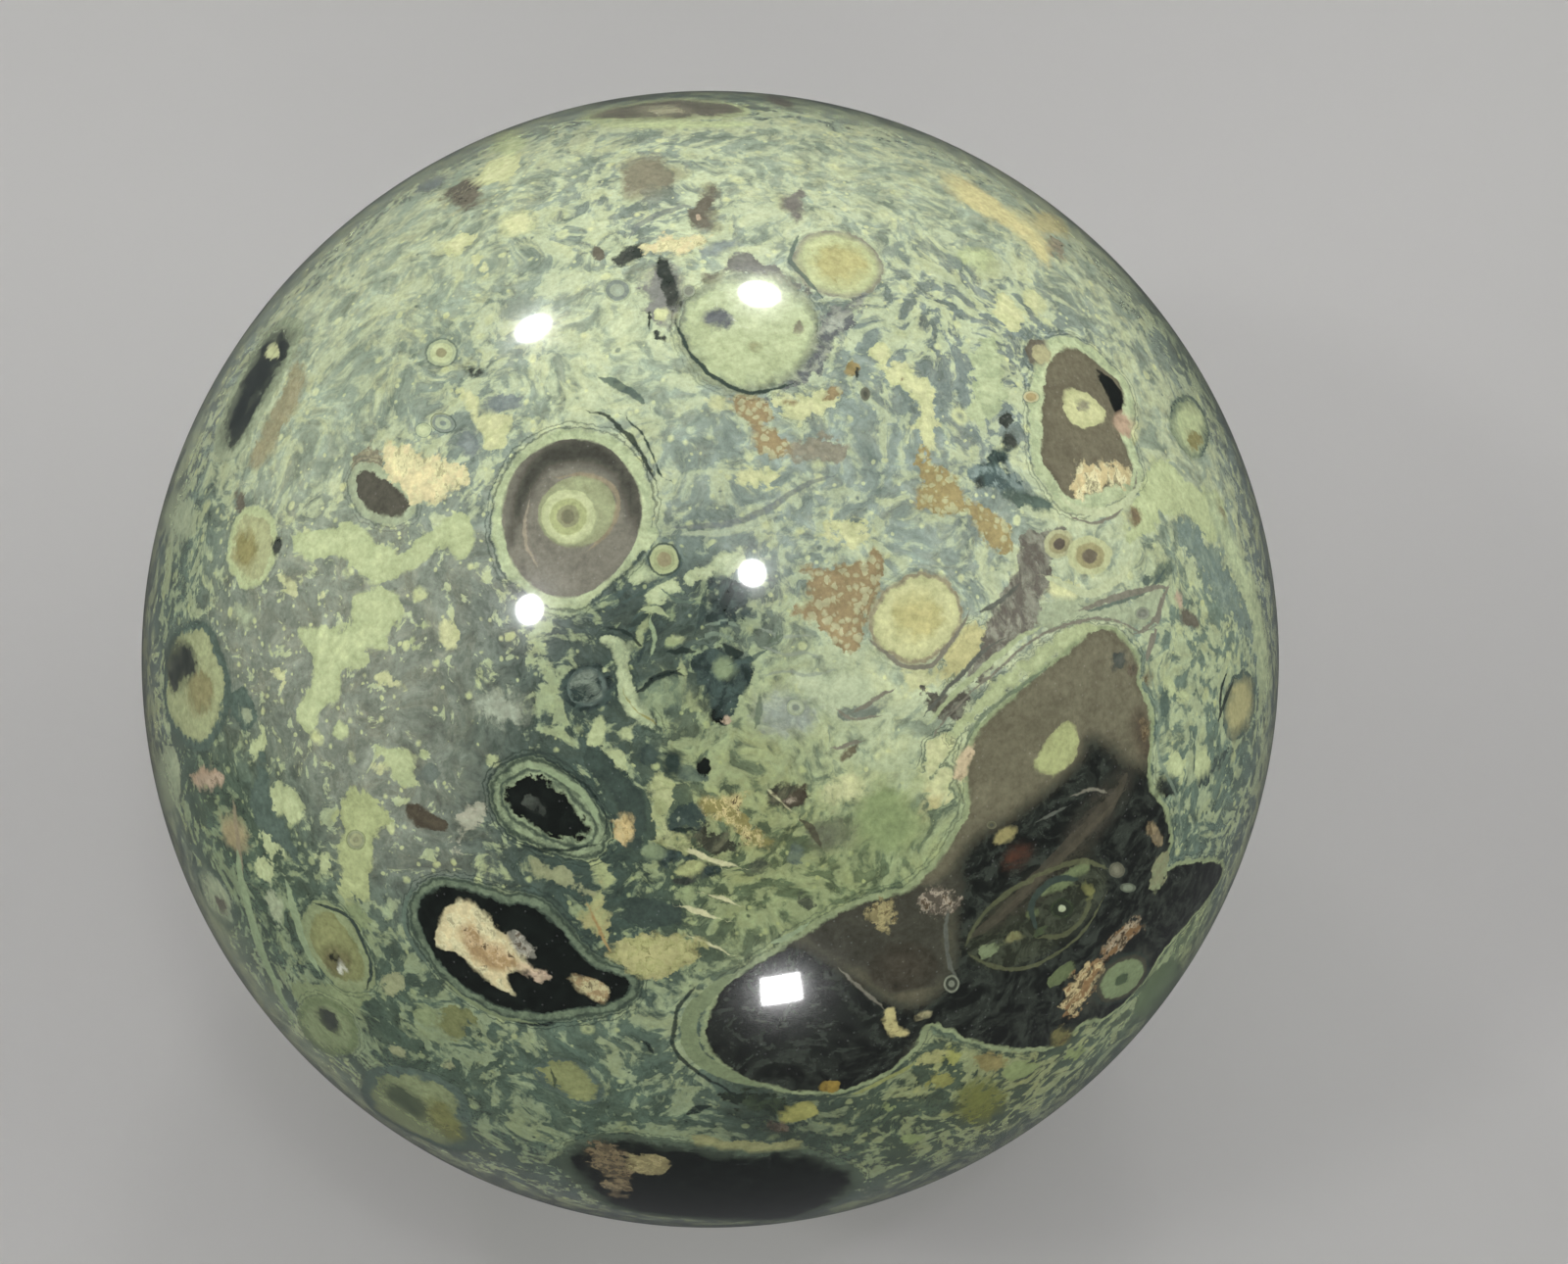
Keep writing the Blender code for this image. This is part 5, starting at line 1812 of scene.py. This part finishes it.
    # What darkens one side of the large bodies
    tints: tuple[tuple[Point, Tint], ...] = (
        ((136, -20), Tint(Layer.BODY, Oval(0, 0, 9.0, 3.6, 24, 0.2, 21), BLACK, 2.2)),
        ((192, 7), Tint(Layer.BODY, Oval(0, 0, 2.2, 4.6, 60, 0.2, 22), BLACK, 1.6)),
        ((296, -11), Tint(Layer.BODY, Oval(0, 0, 3.4, 1.8, -35, 0.2, 23), DARK_OLIVE, 1.6)),
    )
    core_share: Point = (0.3, 0.5)  # a core's size beside what it lies in, least and most
    core_uneven: float = 0.3
    eye_count: int = 22
    eye_size: Point = (0.6, 1.5)  # mm, half its length
    eye_slender: Point = (0.8, 1.0)  # width over length
    eye_ring: Point = (0.5, 0.7)  # the ring's reach as a share of the eye's
    line_count: int = 90
    line_gap: Point = (0.6, 3.2)  # mm from what the line runs beside
    line_length: Point = (2.0, 7.0)  # mm
    line_wave: Point = (0, 0.5)  # mm, how far it swings
    line_width: Point = (0.14, 0.34)  # mm
    zone_count: int = 22
    zone_reach: float = 10.0  # mm
    zone_draws: int = 12  # places drawn at once, of which the one farthest from every zone is taken
    zone_margin: float = 0.1  # radians from the shown half

    def lay(self, pattern: Pattern) -> None:
        """Lays every marking of this side, the small ones by seeded chance.

        Args:
            pattern: the pattern to lay them in.
        """
        front = np.array(pattern.view.towards_camera)
        room = Room(pattern, np.random.default_rng(self.seed), front, self.shown_reach)
        for place, layer, marking in self.large:
            room.taken.append((pattern.look_at(towards(*place)).middle, marking.outlines[0].length))
            pattern.mark(layer, marking)
        for sort in self.sorts:
            self.spread(sort, room)
        for place, tint in self.tints:
            pattern.look_at(towards(*place))
            pattern.tint(tint)
        self.spread_eyes(room)
        self.spread_lines(room)

    def spread(self, sort: Sort, room: Room) -> None:
        """Spreads one sort of marking.

        Args:
            sort: the sort.
            room: where it may lie.
        """
        chance = room.chance
        apart = sort.layer in (Layer.BODY, Layer.CORE)
        for _ in range(sort.count):
            size = sort.size[0] + (sort.size[1] - sort.size[0]) * chance.uniform() ** 2
            width = size * chance.uniform(*sort.slender)
            place = room.find(size, apart)
            lean, seed = chance.uniform(0, 180), int(chance.integers(SEEDS))
            if place is None:
                continue
            room.pattern.look_at(place)
            outline = Oval(0, 0, size, width, lean, sort.uneven, seed)
            room.pattern.mark(sort.layer, Mark(sort.skin, (outline,), sort.edge, sort.rim, sort.line))
            if apart:
                room.taken.append((place, size))
            if sort.core:
                share = chance.uniform(*self.core_share)
                core = Oval(0, 0, size * share, width * share, lean, self.core_uneven, seed + 1)
                room.pattern.mark(sort.core_layer, Mark(sort.core, (core,)))

    def spread_eyes(self, room: Room) -> None:
        """Spreads small eyes.

        Args:
            room: where they may lie.
        """
        chance = room.chance
        for _ in range(self.eye_count):
            size = chance.uniform(*self.eye_size)
            place = room.find(size, True)
            if place is not None:
                room.taken.append((place, size))
                outline = Oval(0, 0, size, size * chance.uniform(*self.eye_slender), chance.uniform(0, 180))
                tones = EYE_TONES[int(chance.integers(len(EYE_TONES)))]
                room.pattern.look_at(place)
                room.pattern.set_eye(Eye(outline, *tones, ring_share=chance.uniform(*self.eye_ring)))

    def spread_lines(self, room: Room) -> None:
        """Draws flow lines beside what has been laid.

        Args:
            room: what has been laid, and where a line may lie.
        """
        chance, pattern = room.chance, room.pattern
        for _ in range(self.line_count):
            beside, reach = room.taken[int(chance.integers(len(room.taken)))]
            turn = chance.uniform(0, 2 * math.pi)
            out = reach + chance.uniform(*self.line_gap)
            foot = np.array([(out * math.cos(turn), out * math.sin(turn))])
            place = pattern.look_at(beside).cast(foot)[0]
            if room.hides(place):
                tone, strength = LINE_TONES[int(chance.integers(len(LINE_TONES)))]
                course = bent_course(out, chance.uniform(*self.line_length), math.degrees(turn) - 90.0,
                                     chance.uniform(*self.line_wave))
                pattern.look_at(place)
                pattern.draw(Stroke((course,), chance.uniform(*self.line_width), tone, strength))

    def grounds(self, view: Viewpoint) -> list[tuple[Ground, np.ndarray, float]]:
        """Spreads the kinds of ground.

        Args:
            view: the viewpoint, whose far side is to be filled.

        Returns:
            Each zone's ground, direction and reach in mm.
        """
        chance = np.random.default_rng(self.seed + 1)
        kinds = (Grounds.SAGE, Grounds.ISLANDS, Grounds.MOTTLED, Grounds.SPECKLED, Grounds.STREAKED,
                 Grounds.GREEN, Grounds.OLIVE, Grounds.TEAL, Grounds.BLUE_GREEN, Grounds.DEEP)
        zones: list[tuple[Ground, np.ndarray, float]] = []
        while len(zones) < self.zone_count:
            places = unit(chance.normal(size=(self.zone_draws, 3)))
            places = places[places @ np.array(view.towards_camera)
                            < math.cos(self.shown_reach + self.zone_margin)]
            if len(places):
                nearest = [max([place @ middle for _, middle, _ in zones], default=-1.0) for place in places]
                farthest = places[int(np.argmin(nearest))]
                zones.append((kinds[len(zones) % len(kinds)], farthest, self.zone_reach))
        return zones


@dataclass(frozen=True)
class BallMesh:
    """The ball's surface: six square grids drawn out to a round, with the small flat below."""

    ball: Ball
    cells: int = 128  # along each side of a grid, which makes faces of about 0.4 mm
    inset: float = 1.0e-6  # m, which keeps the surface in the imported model's box
    wave_height: float = 3.0e-6  # m, the faint unevenness that hand lapping leaves
    waves: int = 9
    wave_length: Point = (0.15, 0.35)  # of the radius
    seed: int = 4
    digits: int = 7  # to which the grids' vertices agree along their seams

    def grid(self) -> tuple[np.ndarray, np.ndarray]:
        """Lays the six grids out and joins them.

        Returns:
            Unit vectors to the vertices, and the four vertices of each face.
        """
        share = np.tan(np.linspace(-math.pi / 4, math.pi / 4, self.cells + 1))
        first, second = np.meshgrid(share, share, indexing="ij")
        ones = np.ones_like(first)
        points, quads = [], []
        side = self.cells + 1
        row, column = np.meshgrid(np.arange(self.cells), np.arange(self.cells), indexing="ij")
        corner = (row * side + column).ravel()
        square = np.stack([corner, corner + side, corner + side + 1, corner + 1], axis=1)
        for axis in range(3):
            for sign in (1.0, -1.0):
                place = np.empty((3, side, side))
                place[axis] = sign * ones
                place[(axis + 1) % 3] = first
                place[(axis + 2) % 3] = second * sign
                quads.append(square + len(points) * side * side)
                points.append(place.reshape(3, -1).T)
        rounded = np.round(unit(np.vstack(points)), self.digits)
        joined, back = np.unique(rounded, axis=0, return_inverse=True)
        return unit(joined), back.ravel()[np.vstack(quads)]

    def surface(self, directions: np.ndarray) -> np.ndarray:
        """Puts the vertices on the ball.

        Args:
            directions: unit vectors to the vertices.

        Returns:
            Their places in metres.
        """
        chance = np.random.default_rng(self.seed)
        height = np.zeros(len(directions))
        for _ in range(self.waves):
            heading = unit(chance.normal(size=3))
            length = chance.uniform(*self.wave_length)
            height += np.sin(2 * math.pi * (directions @ heading) / length + chance.uniform(*PHASES))
        height = (height / self.waves - 1.0) * self.wave_height
        places = directions * (self.ball.radius - self.inset + height)[:, None] + np.array(self.ball.centre)
        places[:, 2] = np.maximum(places[:, 2], 0.0)
        return places

    def build(self, name: str) -> tuple[bpy.types.Object, np.ndarray, np.ndarray]:
        """Makes the mesh object.

        Args:
            name: the object's name.

        Returns:
            The object, unit vectors to its vertices, and the four vertices of each face.
        """
        directions, quads = self.grid()
        mesh = bpy.data.meshes.new(name)
        mesh.from_pydata(self.surface(directions).tolist(), [], quads.tolist())
        mesh.shade_smooth()
        return put_in_scene(name, mesh), directions, quads


@dataclass(frozen=True)
class Glint:
    """A small lamp whose mirror image shows at one place on the ball."""

    at: Point  # px
    reach: float  # mm, the lamp's half width
    shape: str = "DISK"
    power: float = 1.0


@dataclass(frozen=True)
class Softbox:
    """A wide soft light, screened so that it leaves no glint of its own."""

    place: tuple[float, float, float]  # m
    width: float  # m, also its height
    radiance: float  # W/m2/sr


@dataclass(frozen=True)
class Studio:
    """A plain pale floor, a soft sky, soft light from all round and a few small lamps."""

    view: Viewpoint
    floor_half: float = 4.0  # m
    floor_tone: str = "#ABAAA8"
    sky_tone: str = "#D9DCDE"
    sky_strength: float = 0.09
    softboxes: tuple[Softbox, ...] = (
        Softbox((0.0, 0.1, 1.3), 1.3, 0.7),
        Softbox((1.2, 0.2, 0.5), 1.1, 3.4),
        Softbox((-1.2, 0.2, 0.5), 1.1, 3.0),
        Softbox((0.0, 1.3, 0.5), 1.1, 3.3),
        Softbox((0.0, -1.3, 0.6), 1.1, 1.75),
    )
    lamp_distance: float = 0.8  # m from the ball
    lamp_spread: float = math.radians(24.0)  # a grid on each lamp keeps its light on the ball
    lamp_radiance: float = 52.0  # W/m2/sr, which burns its mirror image out
    glints: tuple[Glint, ...] = (
        Glint((544.0, 335.0), 40.0, "DISK", 1.1),
        Glint((775.0, 300.0), 44.0, "DISK", 1.0),
        Glint((540.0, 622.0), 38.0, "DISK", 1.1),
        Glint((768.0, 585.0), 36.0, "DISK", 1.1),
        Glint((797.0, 1010.0), 46.0, "SQUARE", 1.0),
    )

    def lay_floor(self) -> None:
        """Makes the floor."""
        half = self.floor_half
        mesh = bpy.data.meshes.new("floor")
        mesh.from_pydata([(-half, -half, 0.0), (half, -half, 0.0), (half, half, 0.0), (-half, half, 0.0)], [],
                         [(0, 1, 2, 3)])
        floor = put_in_scene("floor", mesh)
        floor.visible_glossy = False
        material = bpy.data.materials.new("matt_paper")
        material.use_nodes = True
        graph = Graph(material.node_tree)
        graph.add("OutputMaterial", graph.add("BsdfPrincipled", linear(self.floor_tone), Roughness=0.9,
                                              Specular_IOR_Level=0.2))
        mesh.materials.append(material)

    def hang(self, lamp: bpy.types.Light, place: Vector, turn: Quaternion) -> bpy.types.Object:
        """Hangs a lamp where the camera doesn't see it.

        Args:
            lamp: the lamp.
            place: where it hangs, in metres.
            turn: how it is turned.

        Returns:
            The lamp's object.
        """
        hung = put_in_scene(lamp.name, lamp)
        hung.location = place
        hung.rotation_euler = turn.to_euler()
        hung.visible_camera = False
        return hung

    def hang_lamp(self, glint: Glint, number: int) -> None:
        """Hangs one small lamp where its glint comes from.

        Args:
            glint: the lamp's mirror image.
            number: the lamp's number, for its name.
        """
        point, heading = self.view.glance(glint.at)
        lamp = bpy.data.lights.new(f"lamp_{number}", "AREA")
        lamp.shape = glint.shape
        lamp.size = 2 * glint.reach * MM
        lamp.spread = self.lamp_spread
        area = lamp.size ** 2 * (1.0 if glint.shape == "SQUARE" else math.pi / 4)
        half = self.lamp_spread / 2
        narrowing = (math.tan(half) - half) / math.tan(half)  # a grid makes a lamp shine brighter ahead
        lamp.energy = self.lamp_radiance * glint.power * area * math.pi * narrowing
        self.hang(lamp, point + heading * self.lamp_distance, heading.to_track_quat("Z", "Y"))

    def hang_softbox(self, box: Softbox, number: int) -> None:
        """Hangs one wide soft light.

        Args:
            box: its place, size and strength.
            number: the light's number, for its name.
        """
        lamp = bpy.data.lights.new(f"softbox_{number}", "AREA")
        lamp.size = box.width
        lamp.energy = box.radiance * lamp.size ** 2 * math.pi
        place = Vector(box.place)
        turn = (self.view.ball.centre - place).to_track_quat("-Z", "Y")
        self.hang(lamp, place, turn).visible_glossy = False

    def build(self) -> None:
        """Sets the floor, the sky and the lamps."""
        self.lay_floor()
        for number, glint in enumerate(self.glints):
            self.hang_lamp(glint, number)
        for number, box in enumerate(self.softboxes):
            self.hang_softbox(box, number)
        world = bpy.data.worlds.new("sky")
        world.use_nodes = True
        background = world.node_tree.nodes["Background"]
        background.inputs["Color"].default_value = linear(self.sky_tone)
        background.inputs["Strength"].default_value = self.sky_strength
        bpy.context.scene.world = world
        bpy.context.scene.view_settings.view_transform = "Standard"


@dataclass(frozen=True)
class JasperBall:
    """The ball of stone: its surface, its pattern and its finish."""

    view: Viewpoint
    name: str = "polished_jasper_ball"

    def build(self) -> bpy.types.Object:
        """Makes and dresses the ball.

        Returns:
            The ball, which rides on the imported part's body and stands for its node.
        """
        piece, directions, quads = BallMesh(self.view.ball).build(self.name)
        pattern = Pattern(self.view, directions, quads)
        sides = (ShownSide(), HiddenSide())
        for side in sides:
            side.lay(pattern)
        pattern.lay_ground(Grounds.MOTTLED, [zone for side in sides for zone in side.grounds(self.view)])
        pattern.write(piece.data)
        piece.data.materials.append(LappedJasper().build())
        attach(piece, "root")
        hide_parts("jasper_ball")
        return piece


def main() -> None:
    """Builds the scene and reports each piece."""
    logging.basicConfig(level=logging.INFO, format="%(name)s: %(message)s")
    view = Viewpoint(Ball.from_frame())
    view.set_camera()
    Studio(view).build()
    for sub_assembly in (JasperBall(view),):
        piece = sub_assembly.build()
        LOG.info("%s has %d faces", piece.name, len(piece.data.polygons))


if __name__ == "__main__":
    main()
